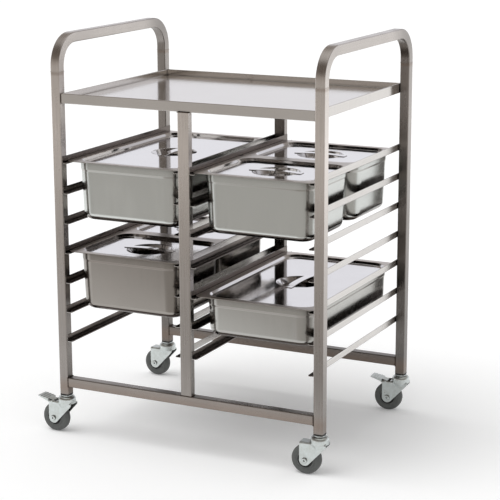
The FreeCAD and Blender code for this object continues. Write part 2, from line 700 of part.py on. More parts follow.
# Each pan: its name, its column, its level below the top one, setback, length and depth
COLUMN_X = {"left": -(CENTRE_POST_WIDTH + COLUMN) / 2, "right": (CENTRE_POST_WIDTH + COLUMN) / 2}
BEHIND_HALF_PAN = HALF_PAN_LENGTH + HALF_PAN_GAP
PANS = (
    ("upper_left", "left", 0, UPPER_LEFT_SETBACK, FULL_PAN_LENGTH, DEEP_PAN),
    ("lower_left_front", "left", 3, LOWER_LEFT_SETBACK, HALF_PAN_LENGTH, DEEP_PAN),
    ("lower_left_rear", "left", 3, LOWER_LEFT_SETBACK + BEHIND_HALF_PAN, HALF_PAN_LENGTH, DEEP_PAN),
    ("upper_right_front", "right", 0, UPPER_RIGHT_SETBACK, HALF_PAN_LENGTH, DEEP_PAN),
    ("upper_right_rear", "right", 0, UPPER_RIGHT_SETBACK + BEHIND_HALF_PAN, HALF_PAN_LENGTH, DEEP_PAN),
    ("lower_right", "right", 4, LOWER_RIGHT_SETBACK, FULL_PAN_LENGTH, SHALLOW_PAN),
)
for name, column, level_down, setback, length, depth in PANS:
    pan_x = COLUMN_X[column]
    pan_y = setback + length / 2 - DEPTH / 2
    pan_z = level_z(RUNNER_LEVELS - 1 - level_down) + RUNNER_LIP + PAN_SEAT_GAP
    lid_z = pan_z + PAN_SHEET + LID_SEAT_GAP
    nodes[f"{name}_pan"] = moved(pan(length, depth), pan_x, pan_y, pan_z)
    nodes[f"{name}_lid"] = moved(lid(length), pan_x, pan_y, lid_z)
    nodes[f"{name}_lid_strap"] = moved(lid_strap(length), pan_x, pan_y, lid_z)

# Each castor: its leg, which way its wheel trails and whether it has a brake
CASTORS = (
    ("front_left", -1, -1, FRONT_LEFT_TRAIL, True),
    ("front_right", 1, -1, FRONT_RIGHT_TRAIL, False),
    ("rear_left", -1, 1, REAR_LEFT_TRAIL, False),
    ("rear_right", 1, 1, REAR_RIGHT_TRAIL, True),
)
for name, side_x, side_y, trail_degrees, braked in CASTORS:
    turning = {
        "castor_fork": castor_fork(braked),
        "castor_axle": castor_axle(),
        "wheel_core": wheel_core(),
        "tyre": tyre(),
    }
    if braked:
        turning["brake_pedal"] = brake_pedal()
    for shape in turning.values():
        shape.rotate(ORIGIN, Z_AXIS, trail_degrees)
    for piece, shape in {"castor_plug": castor_plug(), "castor_stem": castor_stem(), **turning}.items():
        nodes[f"{name}_{piece}"] = moved(shape, side_x * POST_X, side_y * POST_Y, 0)

os.makedirs("parts", exist_ok=True)
for name, shape in nodes.items():
    shape.exportStep(f"parts/{name}.step")
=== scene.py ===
import json
import math

import bmesh
import bpy
from mathutils import Matrix, Vector


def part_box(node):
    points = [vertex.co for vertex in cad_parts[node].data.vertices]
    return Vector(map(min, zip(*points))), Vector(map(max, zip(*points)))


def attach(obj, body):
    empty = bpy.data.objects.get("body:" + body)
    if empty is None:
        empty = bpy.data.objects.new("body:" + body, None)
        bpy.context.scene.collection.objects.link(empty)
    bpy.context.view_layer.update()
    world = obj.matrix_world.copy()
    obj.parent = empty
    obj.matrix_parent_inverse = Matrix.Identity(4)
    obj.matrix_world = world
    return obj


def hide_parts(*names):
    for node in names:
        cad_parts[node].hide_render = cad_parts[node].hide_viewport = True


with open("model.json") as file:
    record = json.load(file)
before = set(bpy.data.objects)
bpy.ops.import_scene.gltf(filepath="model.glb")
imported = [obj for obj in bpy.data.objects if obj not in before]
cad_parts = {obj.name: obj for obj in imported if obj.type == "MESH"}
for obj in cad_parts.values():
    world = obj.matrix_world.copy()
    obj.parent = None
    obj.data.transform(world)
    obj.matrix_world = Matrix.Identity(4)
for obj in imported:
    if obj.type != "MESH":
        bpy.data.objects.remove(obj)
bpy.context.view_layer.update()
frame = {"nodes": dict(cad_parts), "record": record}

# Posts and rails: the upright legs, the two centre uprights and the two cross rails of the frame.
# Thin-walled square stainless tube, ground to a satin finish along its length, cut and welded together.
MM = 0.001
TUBE_CORNER = 2.5
CORNER_STEPS = 4
BEND_STEPS = 14
TUBE_CRISP = 40
SCRATCH_DEPTH = 0.02


def linear(code):
    """An sRGB hex colour as the linear colour that a shader socket takes."""
    shares = [int(code[place:place + 2], 16) / 255 for place in (1, 3, 5)]
    return [s / 12.92 if s <= 0.04045 else ((s + 0.055) / 1.055) ** 2.4 for s in shares] + [1.0]


def add(tree, kind, inputs=None, **settings):
    """Adds a node with its settings, then sets or links its inputs."""
    node = tree.nodes.new(kind)
    for name, value in settings.items():
        setattr(node, name, value)
    for socket, value in (inputs or {}).items():
        if isinstance(socket, str):
            target = next(s for s in node.inputs if s.identifier == socket)
        else:
            target = node.inputs[socket]
        if isinstance(value, bpy.types.NodeSocket):
            tree.links.new(value, target)
        else:
            target.default_value = value
    return node


def bare_material(name):
    """A new material with a Principled shader on its output and nothing else."""
    material = bpy.data.materials.new(name)
    material.use_nodes = True
    tree = material.node_tree
    tree.nodes.clear()
    shader = add(tree, "ShaderNodeBsdfPrincipled")
    add(tree, "ShaderNodeOutputMaterial", {"Surface": shader.outputs["BSDF"]})
    return material, tree, shader


def worked_metal(
    name, dark, light, edge, roughness, grain_mm,
    smudge_mm=90.0, relief=0.15, edge_mm=0.9, shade_reach_mm=30.0, attribute=None,
):
    """A worked metal: lines or clouds of a size, faint smudges, edges rubbed brighter and painted shade in
    hollows.
    """
    material, tree, shader = bare_material(name)
    if attribute:
        place = add(tree, "ShaderNodeAttribute", attribute_name=attribute).outputs["Vector"]
    else:
        place = add(tree, "ShaderNodeTexCoord").outputs["Object"]
    grain_scale = [1 / (size * MM) for size in grain_mm]
    lines_at = add(tree, "ShaderNodeMapping", {"Vector": place, "Scale": grain_scale})
    lines = add(
        tree,
        "ShaderNodeTexNoise",
        {"Vector": lines_at.outputs[0], "Scale": 1.0, "Detail": 3.0, "Roughness": 0.6},
    )
    body_place = add(tree, "ShaderNodeTexCoord").outputs["Object"]
    smudges = add(
        tree,
        "ShaderNodeTexNoise",
        {"Vector": body_place, "Scale": 1 / (smudge_mm * MM), "Detail": 4.0, "Roughness": 0.55},
    )
    tone = add(
        tree,
        "ShaderNodeMapRange",
        {"Value": lines.outputs["Fac"], "From Min": 0.3, "From Max": 0.7, "To Min": 0.15, "To Max": 0.85},
    )
    colour = add(
        tree,
        "ShaderNodeMix",
        {"Factor_Float": tone.outputs[0], "A_Color": linear(dark), "B_Color": linear(light)},
        data_type="RGBA",
    )
    rounded = add(tree, "ShaderNodeBevel", {"Radius": edge_mm * MM}, samples=4)
    true_face = add(tree, "ShaderNodeNewGeometry")
    facing = add(
        tree,
        "ShaderNodeVectorMath",
        {"Vector": rounded.outputs[0], "Vector_001": true_face.outputs["Normal"]},
        operation="DOT_PRODUCT",
    )
    worn = add(
        tree,
        "ShaderNodeMapRange",
        {"Value": facing.outputs["Value"], "From Min": 0.99, "From Max": 0.86, "To Min": 0.0, "To Max": 0.7},
    )
    worn_colour = add(
        tree,
        "ShaderNodeMix",
        {"Factor_Float": worn.outputs[0], "A_Color": colour.outputs[2], "B_Color": linear(edge)},
        data_type="RGBA",
    )
    # Painted shade: the colour is darkened towards a dark brown grey wherever ambient occlusion finds other
    # surfaces close by.
    shade_occlusion = add(tree, "ShaderNodeAmbientOcclusion", {"Distance": shade_reach_mm * MM}, samples=6)
    shade_openness = add(
        tree,
        "ShaderNodeMapRange",
        {"Value": shade_occlusion.outputs["AO"], "From Min": 0.2, "From Max": 0.85},
    )
    shaded_colour = add(
        tree,
        "ShaderNodeMix",
        {
            "Factor_Float": shade_openness.outputs[0],
            "A_Color": linear("#4A433E"),
            "B_Color": worn_colour.outputs[2],
        },
        data_type="RGBA",
    )
    line_gloss = add(
        tree,
        "ShaderNodeMapRange",
        {"Value": lines.outputs["Fac"], "From Min": 0.3, "From Max": 0.7, "To Min": -0.02, "To Max": 0.02},
    )
    gloss = add(
        tree,
        "ShaderNodeMapRange",
        {
            "Value": smudges.outputs["Fac"],
            "From Min": 0.35,
            "From Max": 0.65,
            "To Min": roughness * 0.88,
            "To Max": roughness * 1.15,
        },
    )
    both = add(
        tree,
        "ShaderNodeMath",
        {0: gloss.outputs[0], 1: line_gloss.outputs[0]},
        operation="ADD",
    )
    scratched = add(
        tree,
        "ShaderNodeBump",
        {"Strength": relief, "Distance": SCRATCH_DEPTH * MM, "Height": lines.outputs["Fac"]},
    )
    tree.links.new(shaded_colour.outputs[2], shader.inputs["Base Color"])
    tree.links.new(both.outputs[0], shader.inputs["Roughness"])
    tree.links.new(scratched.outputs[0], shader.inputs["Normal"])
    shader.inputs["Metallic"].default_value = 1.0
    return material, tree, shader


def toned(tree, shader, share, tone, way="MIX"):
    """Lays a tone over a shader's colour, as far as a share from 0 to 1 says."""
    bare = shader.inputs["Base Color"].links[0].from_socket
    laid = add(
        tree,
        "ShaderNodeMix",
        {"Factor_Float": share, "A_Color": bare, "B_Color": tone},
        data_type="RGBA",
        blend_type=way,
    )
    tree.links.new(laid.outputs[2], shader.inputs["Base Color"])


# Satin-ground stainless tube: grinding belts leave long fine lines, which soften what it mirrors.
# The real lines are under 0.2 mm apart, drawn here 3 mm apart so that they show from a step away.
tube_steel, tube_tree, tube_shader = worked_metal(
    "satin_ground_stainless", "#D8D0CA", "#EDE6E0", "#FAF6F2", 0.28, (3.0, 160.0, 1000.0), shade_reach_mm=220.0,
    attribute="grain",
)

# Painted shade: the legs are painted darker towards the floor and at the very top, and brightest at hand
# height. The rear of the frame is painted darker still. The steps are heights in metres.
tube_place = add(tube_tree, "ShaderNodeTexCoord")
tube_spot = add(tube_tree, "ShaderNodeSeparateXYZ", {"Vector": tube_place.outputs["Object"]})
tube_height_shade = add(tube_tree, "ShaderNodeValToRGB", {"Fac": tube_spot.outputs["Z"]})
shade_steps = tube_height_shade.color_ramp.elements
shade_steps.remove(shade_steps[1])
shade_steps[0].position = 0.1
shade_steps[0].color = linear("#AFAFAF")
for shade_z, shade_tone in (
    (0.25, "#AEAEAE"),
    (0.55, "#D9D9D9"),
    (0.78, "#FFFFFF"),
    (0.93, "#F2F2F2"),
    (1.0, "#D9D9D9"),
):
    shade_steps.new(shade_z).color = linear(shade_tone)
toned(tube_tree, tube_shader, 1.0, tube_height_shade.outputs["Color"], "MULTIPLY")
# Painted shade: the rear of the frame is painted darker.
tube_rear_shade = add(
    tube_tree,
    "ShaderNodeMapRange",
    {"Value": tube_spot.outputs["Y"], "From Min": 0.12, "From Max": 0.25, "To Min": 1.0, "To Max": 0.56},
    interpolation_type="SMOOTHSTEP",
)
toned(tube_tree, tube_shader, 1.0, tube_rear_shade.outputs[0], "MULTIPLY")

# Welding heat leaves a straw to brown tint on the leg round the rails and under the handle.
RAIL_HEAT = 34.0
HANDLE_HEAT = 8.0
HANDLE_HEAT_DROP = 4.0
rail_heat_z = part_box("front_bottom_rail")[0].z
handle_heat_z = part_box("left_handle")[0].z - HANDLE_HEAT_DROP * MM
heat = 0.0
for weld_z, reach in ((rail_heat_z, RAIL_HEAT), (handle_heat_z, HANDLE_HEAT)):
    off = add(tube_tree, "ShaderNodeMath", {0: tube_spot.outputs["Z"], 1: weld_z}, operation="SUBTRACT")
    away = add(tube_tree, "ShaderNodeMath", {0: off.outputs[0]}, operation="ABSOLUTE")
    glow = add(
        tube_tree,
        "ShaderNodeMapRange",
        {"Value": away.outputs[0], "From Min": 0.0, "From Max": reach * MM, "To Min": 0.4, "To Max": 0.0},
        interpolation_type="SMOOTHSTEP",
    )
    heat = add(tube_tree, "ShaderNodeMath", {0: heat, 1: glow.outputs[0]}, operation="MAXIMUM").outputs[0]
toned(tube_tree, tube_shader, heat, linear("#8A7464"))


def shaping_tree(name, start, sizes, result):
    """A tree that shapes one geometry into another, with named sizes and a steel to be set."""
    tree = bpy.data.node_groups.new(name, "GeometryNodeTree")
    tree.interface.new_socket(start, in_out="INPUT", socket_type="NodeSocketGeometry")
    for label, kind in sizes.items():
        tree.interface.new_socket(label, in_out="INPUT", socket_type=f"NodeSocket{kind}")
    tree.interface.new_socket("Steel", in_out="INPUT", socket_type="NodeSocketMaterial")
    tree.interface.new_socket(result, in_out="OUTPUT", socket_type="NodeSocketGeometry")
    return tree, add(tree, "NodeGroupInput")


def steeled_result(tree, geometry, given):
    """Ends a shaping tree: what it has made, as real faces in the steel that is set."""
    whole = add(tree, "GeometryNodeRealizeInstances", {"Geometry": geometry})
    steeled = add(
        tree,
        "GeometryNodeSetMaterial",
        {"Geometry": whole.outputs[0], "Material": given.outputs["Steel"]},
    )
    add(tree, "NodeGroupOutput", {0: steeled.outputs[0]})


sweep_tree, given = shaping_tree(
    "square_tube_along_a_path", "Path", {"Width": "Float", "Depth": "Float", "Bend radius": "Float"}, "Tube"
)
line = add(sweep_tree, "GeometryNodeMeshToCurve", {"Mesh": given.outputs["Path"]})
bent = add(
    sweep_tree,
    "GeometryNodeFilletCurve",
    {"Curve": line.outputs[0], "Count": BEND_STEPS, "Radius": given.outputs["Bend radius"]},
    mode="POLY",
)
run = add(sweep_tree, "GeometryNodeSplineParameter")
marked_path = add(
    sweep_tree,
    "GeometryNodeStoreNamedAttribute",
    {"Geometry": bent.outputs[0], "Name": "along", "Value": run.outputs["Length"]},
    data_type="FLOAT",
    domain="POINT",
)
section = add(
    sweep_tree,
    "GeometryNodeCurvePrimitiveQuadrilateral",
    {"Width": given.outputs["Width"], "Height": given.outputs["Depth"]},
)
soft_section = add(
    sweep_tree,
    "GeometryNodeFilletCurve",
    {"Curve": section.outputs[0], "Count": CORNER_STEPS, "Radius": TUBE_CORNER * MM},
    mode="POLY",
)
marked_section = add(
    sweep_tree,
    "GeometryNodeStoreNamedAttribute",
    {"Geometry": soft_section.outputs[0], "Name": "around", "Value": run.outputs["Length"]},
    data_type="FLOAT",
    domain="POINT",
)
swept = add(
    sweep_tree,
    "GeometryNodeCurveToMesh",
    {"Curve": marked_path.outputs[0], "Profile Curve": marked_section.outputs[0], "Fill Caps": True},
)
around = add(sweep_tree, "GeometryNodeInputNamedAttribute", {"Name": "around"}, data_type="FLOAT")
along = add(sweep_tree, "GeometryNodeInputNamedAttribute", {"Name": "along"}, data_type="FLOAT")
grain = add(sweep_tree, "ShaderNodeCombineXYZ", {"X": around.outputs[0], "Y": along.outputs[0]})
grained = add(
    sweep_tree,
    "GeometryNodeStoreNamedAttribute",
    {"Geometry": swept.outputs[0], "Name": "grain", "Value": grain.outputs[0]},
    data_type="FLOAT_VECTOR",
    domain="POINT",
)
steeled_result(sweep_tree, grained.outputs[0], given)


def made_plain(piece):
    """Turns what a piece's modifiers make into its own plain mesh."""
    graph = bpy.context.evaluated_depsgraph_get()
    mesh = bpy.data.meshes.new_from_object(piece.evaluated_get(graph), depsgraph=graph)
    piece.modifiers.clear()
    piece.data = mesh


def shaped(piece, tree, values):
    """Puts a piece through a shaping tree with its named values set, and keeps the result as a plain mesh."""
    shaping = piece.modifiers.new(tree.name, "NODES")
    shaping.node_group = tree
    for socket in tree.interface.items_tree:
        if socket.name in values:
            shaping[socket.identifier] = values[socket.name]
    made_plain(piece)


def evenly_shaded(piece, crisp_degrees):
    """Smooth shading that keeps flats flat, and creases where the surface turns more than an angle."""
    piece.data.polygons.foreach_set("use_smooth", [True] * len(piece.data.polygons))
    piece.data.set_sharp_from_angle(angle=math.radians(crisp_degrees))
    weights = piece.modifiers.new("flats_first", "WEIGHTED_NORMAL")
    weights.keep_sharp = True
    made_plain(piece)


def put_in_scene(name, mesh):
    """A new object of a mesh, linked to the scene."""
    piece = bpy.data.objects.new(name, mesh)
    bpy.context.scene.collection.objects.link(piece)
    return piece


def fitted(piece, body, slot, *nodes):
    """Makes a finished piece ride on its body and stand for its CAD nodes; the slot is not used."""
    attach(piece, body)
    if nodes:
        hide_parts(*nodes)


def path_mesh(name, points, closed=False):
    """A line through points, open or closed, for a shaping tree to follow."""
    ends = [(place, place + 1) for place in range(len(points) - 1)]
    if closed:
        ends.append((len(points) - 1, 0))
    mesh = bpy.data.meshes.new(name)
    mesh.from_pydata(points, ends, [])
    return mesh


def tube(name, points, width, depth, bend):
    """A square tube swept along a path with bends of one radius."""
    piece = put_in_scene(name, path_mesh(name, points))
    shaped(piece, sweep_tree, {"Width": width, "Depth": depth, "Bend radius": bend, "Steel": tube_steel})
    evenly_shaded(piece, TUBE_CRISP)
    return piece


for node in (
    "front_left_post",
    "front_right_post",
    "rear_left_post",
    "rear_right_post",
    "front_centre_post",
    "rear_centre_post",
    "front_bottom_rail",
    "rear_bottom_rail",
):
    low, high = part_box(node)
    middle = (low + high) / 2
    size = high - low
    if node.endswith("rail"):
        ends = [Vector((low.x, middle.y, middle.z)), Vector((high.x, middle.y, middle.z))]
        piece = tube(f"{node}_tube", ends, size.y, size.z, 0)
    else:
        ends = [Vector((middle.x, middle.y, low.z)), Vector((middle.x, middle.y, high.z))]
        piece = tube(f"{node}_tube", ends, size.x, size.y, 0)
    fitted(piece, "frame", "frame_steel", node)

# Push handles: one bent tube at each end, from leg to leg over the shelf.
# The same satin-ground square tube, bent cold round a former and butt-welded onto the legs.
HANDLE_BEND_MIDDLE = 67.5
for end in ("left", "right"):
    low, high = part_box(f"{end}_handle")
    half = (high.x - low.x) / 2
    x = (low.x + high.x) / 2
    route = [
        Vector((x, low.y + half, low.z)),
        Vector((x, low.y + half, high.z - half)),
        Vector((x, high.y - half, high.z - half)),
        Vector((x, high.y - half, low.z)),
    ]
    piece = tube(f"{end}_handle_tube", route, 2 * half, 2 * half, HANDLE_BEND_MIDDLE * MM)
    fitted(piece, "frame", "frame_steel", f"{end}_handle")

# Welds: small beads round the ends of the rails and centre uprights, and at the corners of the shelf.
# Stainless filler laid by hand, left heat-tinted and dark where a grinder doesn't reach.
WELD_SPACING = 1.1
SMALLEST_BEAD = 0.75
LARGEST_BEAD = 1.2
WELD_RADIUS = 1.3
POST_WELD_RADIUS = 1.04
SHELF_WELD_RADIUS = 0.91
SHELF_WELD_STOP = 1.5
GROUND_WELD_RADIUS = 0.55
GROUND_WELD_INSET = 0.15
weld_steel = worked_metal(
    "heat_tinted_weld", "#2B231E", "#6B5C50", "#8A7B70", 0.42, (4.0, 4.0, 4.0), smudge_mm=6.0
)[0]
bead_tree, given = shaping_tree(
    "weld_beads_along_a_path", "Path", {"Spacing": "Float", "Bead radius": "Float", "Seed": "Int"}, "Beads"
)
line = add(bead_tree, "GeometryNodeMeshToCurve", {"Mesh": given.outputs["Path"]})
steps = add(
    bead_tree,
    "GeometryNodeResampleCurve",
    {"Curve": line.outputs[0], "Length": given.outputs["Spacing"]},
    mode="LENGTH",
)
drop = add(
    bead_tree,
    "GeometryNodeMeshIcoSphere",
    {"Radius": given.outputs["Bead radius"], "Subdivisions": 2},
)
soft_drop = add(bead_tree, "GeometryNodeSetShadeSmooth", {"Geometry": drop.outputs["Mesh"]})
uneven = add(
    bead_tree,
    "FunctionNodeRandomValue",
    {"Min_001": SMALLEST_BEAD, "Max_001": LARGEST_BEAD, "Seed": given.outputs["Seed"]},
    data_type="FLOAT",
)
laid = add(
    bead_tree,
    "GeometryNodeInstanceOnPoints",
    {"Points": steps.outputs[0], "Instance": soft_drop.outputs[0], "Scale": uneven.outputs[1]},
)
steeled_result(bead_tree, laid.outputs[0], given)


def weld(name, points, closed, radius, steel, seed):
    """A row of weld beads along a path, on the frame."""
    piece = put_in_scene(name, path_mesh(name, points, closed))
    spacing = radius / WELD_RADIUS * WELD_SPACING
    beads = {"Spacing": spacing * MM, "Bead radius": radius * MM, "Seed": seed, "Steel": steel}
    shaped(piece, bead_tree, beads)
    fitted(piece, "frame", "frame_steel")


def tube_corners(left, right, front, rear, z):
    """The four corners of an upright tube's outline at a height."""
    outline = ((left, front), (right, front), (right, rear), (left, rear))
    return [Vector((x, y, z)) for x, y in outline]


for seed, face in enumerate(("front", "rear")):
    low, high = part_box(f"{face}_bottom_rail")
    for end, x in (("left", low.x), ("right", high.x)):
        loop = [
            Vector((x, low.y, low.z)),
            Vector((x, high.y, low.z)),
            Vector((x, high.y, high.z)),
            Vector((x, low.y, high.z)),
        ]
        weld(f"{face}_{end}_rail_weld", loop, True, WELD_RADIUS, weld_steel, 10 + seed)
    low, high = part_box(f"{face}_centre_post")
    for end, z in (("foot", low.z), ("head", high.z)):
        loop = tube_corners(low.x, high.x, low.y, high.y, z)
        weld(f"{face}_centre_post_{end}_weld", loop, True, POST_WELD_RADIUS, weld_steel, 20 + seed)

shelf_low, shelf_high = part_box("top_shelf")
for seed, (end, x) in enumerate((("left", shelf_low.x), ("right", shelf_high.x))):
    for face, y in (("front", shelf_low.y), ("rear", shelf_high.y)):
        seam = [Vector((x, y, shelf_low.z)), Vector((x, y, shelf_high.z - SHELF_WELD_STOP * MM))]
        weld(f"{face}_{end}_shelf_weld", seam, False, SHELF_WELD_RADIUS, weld_steel, 30 + seed)
    low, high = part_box(f"{end}_handle")
    inset = GROUND_WELD_INSET * MM
    left, right = low.x + inset, high.x - inset
    for face, y in (("front", low.y + inset), ("rear", high.y - inset - (right - left))):
        loop = tube_corners(left, right, y, y + right - left, low.z)
        weld(f"{face}_{end}_handle_weld", loop, True, GROUND_WELD_RADIUS, tube_steel, 40 + seed)

# Top shelf: a tray with a raised rim, welded between the legs on top of the centre uprights.
# Bright rolled stainless sheet, folded up, hemmed at the rim and returned underneath.
SHELF_SHEET = 1.5
SHELF_SINK = 15.0
SHELF_HEM = 3.0
SHELF_RETURN = 12.0
SHELF_CORNER = 1.2
SHELF_INNER_CORNER = 0.2
SHELF_CORNER_STEPS = 2
SHELF_CRISP = 50
FOLD_STEPS = 4
MERGE_WITHIN = 0.001

# Bright-rolled sheet mirrors what stands over it, drawn out a little along the lines of the rolls.
# Those lines are finer than a hair, and are drawn 5 mm apart so that they show.
shelf_steel = worked_metal(
    "bright_rolled_stainless", "#D0CCC8", "#DAD6D2", "#F4F3F2", 0.13, (220.0, 5.0, 220.0), smudge_mm=140.0,
    relief=0.06, edge_mm=0.5, shade_reach_mm=7.0,
)[0]


def ring(width, length, radius, z, steps):
    """Points round a rectangle with rounded corners, anticlockwise from above."""
    points = []
    for quarter, (side_x, side_y) in enumerate(((1, -1), (1, 1), (-1, 1), (-1, -1))):
        for step in range(steps + 1):
            angle = math.radians(90 * quarter - 90 + 90 * step / steps)
            x = side_x * (width / 2 - radius) + radius * math.cos(angle)
            y = side_y * (length / 2 - radius) + radius * math.sin(angle)
            points.append(Vector((x, y, z)))
    return points


def skin(name, rings, place, material):
    """One closed skin over a stack of point rings of equal count, with the first and last filled in."""
    shell = bmesh.new()
    rows = [[shell.verts.new((point + place) * MM) for point in points] for points in rings]
    for here, there in zip(rows, rows[1:]):
        for a in range(len(here)):
            b = (a + 1) % len(here)
            shell.faces.new((here[a], here[b], there[b], there[a]))
    shell.faces.new(list(reversed(rows[0])))
    shell.faces.new(rows[-1])
    bmesh.ops.remove_doubles(shell, verts=shell.verts, dist=MERGE_WITHIN * MM)
    bmesh.ops.recalc_face_normals(shell, faces=shell.faces)
    mesh = bpy.data.meshes.new(name)
    shell.to_mesh(mesh)
    shell.free()
    mesh.materials.append(material)
    return put_in_scene(name, mesh)


def arc(centre_in, centre_z, radius, start, end, steps):
    """Points of a fold: (inward distance, height) pairs round a centre, between two angles in degrees."""
    pairs = []
    for step in range(steps + 1):
        angle = math.radians(start + (end - start) * step / steps)
        pairs.append((centre_in + radius * math.cos(angle), centre_z + radius * math.sin(angle)))
    return pairs


shelf_size = (shelf_high - shelf_low) / MM
shelf_place = (shelf_high + shelf_low) / 2 / MM
shelf_place.z = shelf_low.z / MM
floor_z = shelf_size.z - SHELF_SINK
hem = SHELF_HEM / 2
shelf_fold = (
    [(SHELF_HEM, floor_z - SHELF_SHEET), (SHELF_HEM, SHELF_SHEET)]
    + [(SHELF_RETURN, SHELF_SHEET), (SHELF_RETURN, 0)]
    + arc(SHELF_SHEET, SHELF_SHEET, SHELF_SHEET, 270, 180, FOLD_STEPS)
    + arc(hem, shelf_size.z - hem, hem, 180, 0, 2 * FOLD_STEPS)
    + arc(SHELF_HEM + SHELF_SHEET, floor_z + SHELF_SHEET, SHELF_SHEET, 180, 270, FOLD_STEPS)
)
shelf_rings = []
for inward, z in shelf_fold:
    corner = max(SHELF_CORNER - inward, SHELF_INNER_CORNER)
    width = shelf_size.x - 2 * inward
    length = shelf_size.y - 2 * inward
    shelf_rings.append(ring(width, length, corner, z, SHELF_CORNER_STEPS))
shelf = skin("top_shelf_tray", shelf_rings, shelf_place, shelf_steel)
evenly_shaded(shelf, SHELF_CRISP)
fitted(shelf, "frame", "frame_steel", "top_shelf")

# Runners: seven ledges on each side of each column, which the pans hang from by their flanges.
# Stainless strip folded to a web, a ledge and a small raised lip, spot-welded to the posts.
RUNNER_WEB = 18.0
RUNNER_SHEET = 1.2
RUNNER_LIP = 3.5
RUNNER_FOLD = 2.0
RUNNER_LIP_FOLD = 1.0
RUNNER_LEVELS = 7
SHEET_CRISP = 40

# Satin strip has a soft shine that runs along the ledge. Its fine lines are drawn 4 mm apart to show.
runner_steel, runner_tree, runner_shader = worked_metal(
    "satin_strip_stainless", "#CCC8C4", "#DBD8D5", "#EFECE9", 0.24, (4.0, 200.0, 4.0),
    edge_mm=0.4, shade_reach_mm=60.0,
)

# Painted shade: the insides of the ledges are painted a dark grey, for the shade deep inside the trolley that
# they face.
runner_inside_shade = add(runner_tree, "ShaderNodeAttribute", attribute_name="inside")
toned(runner_tree, runner_shader, runner_inside_shade.outputs["Fac"], linear("#6A625D"))

rack_tree, given = shaping_tree(
    "one_runner_at_every_level", "Runner", {"Levels": "Int", "Pitch": "Vector"}, "Bank"
)
levels = add(
    rack_tree,
    "GeometryNodeMeshLine",
    {"Count": given.outputs["Levels"], "Offset": given.outputs["Pitch"]},
    mode="OFFSET",
)
racked = add(
    rack_tree,
    "GeometryNodeInstanceOnPoints",
    {"Points": levels.outputs[0], "Instance": given.outputs["Runner"]},
)
steeled_result(rack_tree, racked.outputs[0], given)

for bank, way in (
    ("left_outer_runners", 1),
    ("left_inner_runners", -1),
    ("right_inner_runners", 1),
    ("right_outer_runners", -1),
):
    low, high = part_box(bank)
    reach = (high.x - low.x) / MM
    web_x = (low.x if way > 0 else high.x) / MM
    outside = RUNNER_SHEET + RUNNER_FOLD
    lip_bend = RUNNER_SHEET + RUNNER_LIP_FOLD
    back = [(0.0, RUNNER_WEB)] + arc(outside, outside, outside, 180, 270, FOLD_STEPS)
    outline = (
        back
        + arc(reach - lip_bend, lip_bend, lip_bend, 270, 360, FOLD_STEPS)
        + arc(reach - RUNNER_SHEET / 2, RUNNER_LIP - RUNNER_SHEET / 2, RUNNER_SHEET / 2, 0, 180, FOLD_STEPS)
        + arc(reach - lip_bend, lip_bend, lip_bend - RUNNER_SHEET, 360, 270, FOLD_STEPS)
        + arc(outside, outside, outside - RUNNER_SHEET, 270, 180, FOLD_STEPS)
        + [(RUNNER_SHEET, RUNNER_WEB)]
    )
    strip = bmesh.new()
    # The faces inside the fold are marked for the painted shade.
    inside = strip.faces.layers.float.new("inside")
    ends = []
    for y in (low.y, high.y):
        row = [strip.verts.new(((web_x + way * x) * MM, y, low.z + z * MM)) for x, z in outline]
        ends.append(row)
    for a in range(len(outline)):
        b = (a + 1) % len(outline)
        face = strip.faces.new((ends[0][a], ends[0][b], ends[1][b], ends[1][a]))
        face[inside] = float(a >= len(back) - 1)
    strip.faces.new(ends[0])
    strip.faces.new(list(reversed(ends[1])))
    bmesh.ops.remove_doubles(strip, verts=strip.verts, dist=MERGE_WITHIN * MM)
    bmesh.ops.recalc_face_normals(strip, faces=strip.faces)
    mesh = bpy.data.meshes.new(bank)
    strip.to_mesh(mesh)
    strip.free()
    piece = put_in_scene(f"{bank}_strips", mesh)
    evenly_shaded(piece, SHEET_CRISP)
    pitch = (high.z - low.z - RUNNER_WEB * MM) / (RUNNER_LEVELS - 1)
    shaped(piece, rack_tree, {"Levels": RUNNER_LEVELS, "Pitch": (0.0, 0.0, pitch), "Steel": runner_steel})
    fitted(piece, "frame", "frame_steel", bank)

# Pans: deep and shallow gastronorm pans that hang on the runners by their flanges.
# One sheet of stainless drawn in a press, with a flat flange, a stacking step and tapered sides.
PAN_SHEET = 0.8
PAN_FLANGE = 14.5
PAN_FLANGE_CORNER = 12.0
PAN_CORNER = 44.0
PAN_NECK = 20.0
PAN_STEP = 1.5
PAN_STEP_HEIGHT = 4.0
PAN_DRAFT = math.tan(math.radians(2.5))
PAN_FOOT_ROUND = 20.0
PAN_FLANGE_BEND = 2.0
PAN_STEP_EASE = 0.3
PAN_STEP_RUN = 1.0
PAN_LEAST_CORNER = 4.0
PAN_CORNER_STEPS = 12
PAN_FOOT_SHADE = 12.0
MARK_MARGIN = 1.0
# How strongly each lower pan takes the painted shade.
PAN_LOWER_SHADE = {"lower_left_front": 1.0, "lower_left_rear": 1.0, "lower_right": 0.55}
PANS = (
    "upper_left",
    "lower_left_front",
    "lower_left_rear",
    "upper_right_front",
    "upper_right_rear",
    "lower_right",
)

# Satin pressed sheet shines softly and mirrors only broad light and dark.
# The press leaves fine upright streaks, drawn 14 mm apart so that they show.
pan_steel, pan_tree, pan_shader = worked_metal(
    "satin_pressed_stainless", "#CDD0CD", "#D2D4D1", "#F0EFEC", 0.2, (14.0, 14.0, 140.0), smudge_mm=120.0,
    relief=0.02, edge_mm=0.3, shade_reach_mm=50.0,
)

# Painted shade: the stacking step and the foot are painted darker, and the lower pans a darker, warmer grey.
for mark, tone, way in (
    ("step", "#B2B0AC", "MIX"),
    ("foot", "#6B645F", "MIX"),
    ("lower_shade", "#C3BBB7", "MULTIPLY"),
):
    pan_shade_mark = add(pan_tree, "ShaderNodeAttribute", attribute_name=mark)
    toned(pan_tree, pan_shader, pan_shade_mark.outputs["Fac"], linear(tone), way)


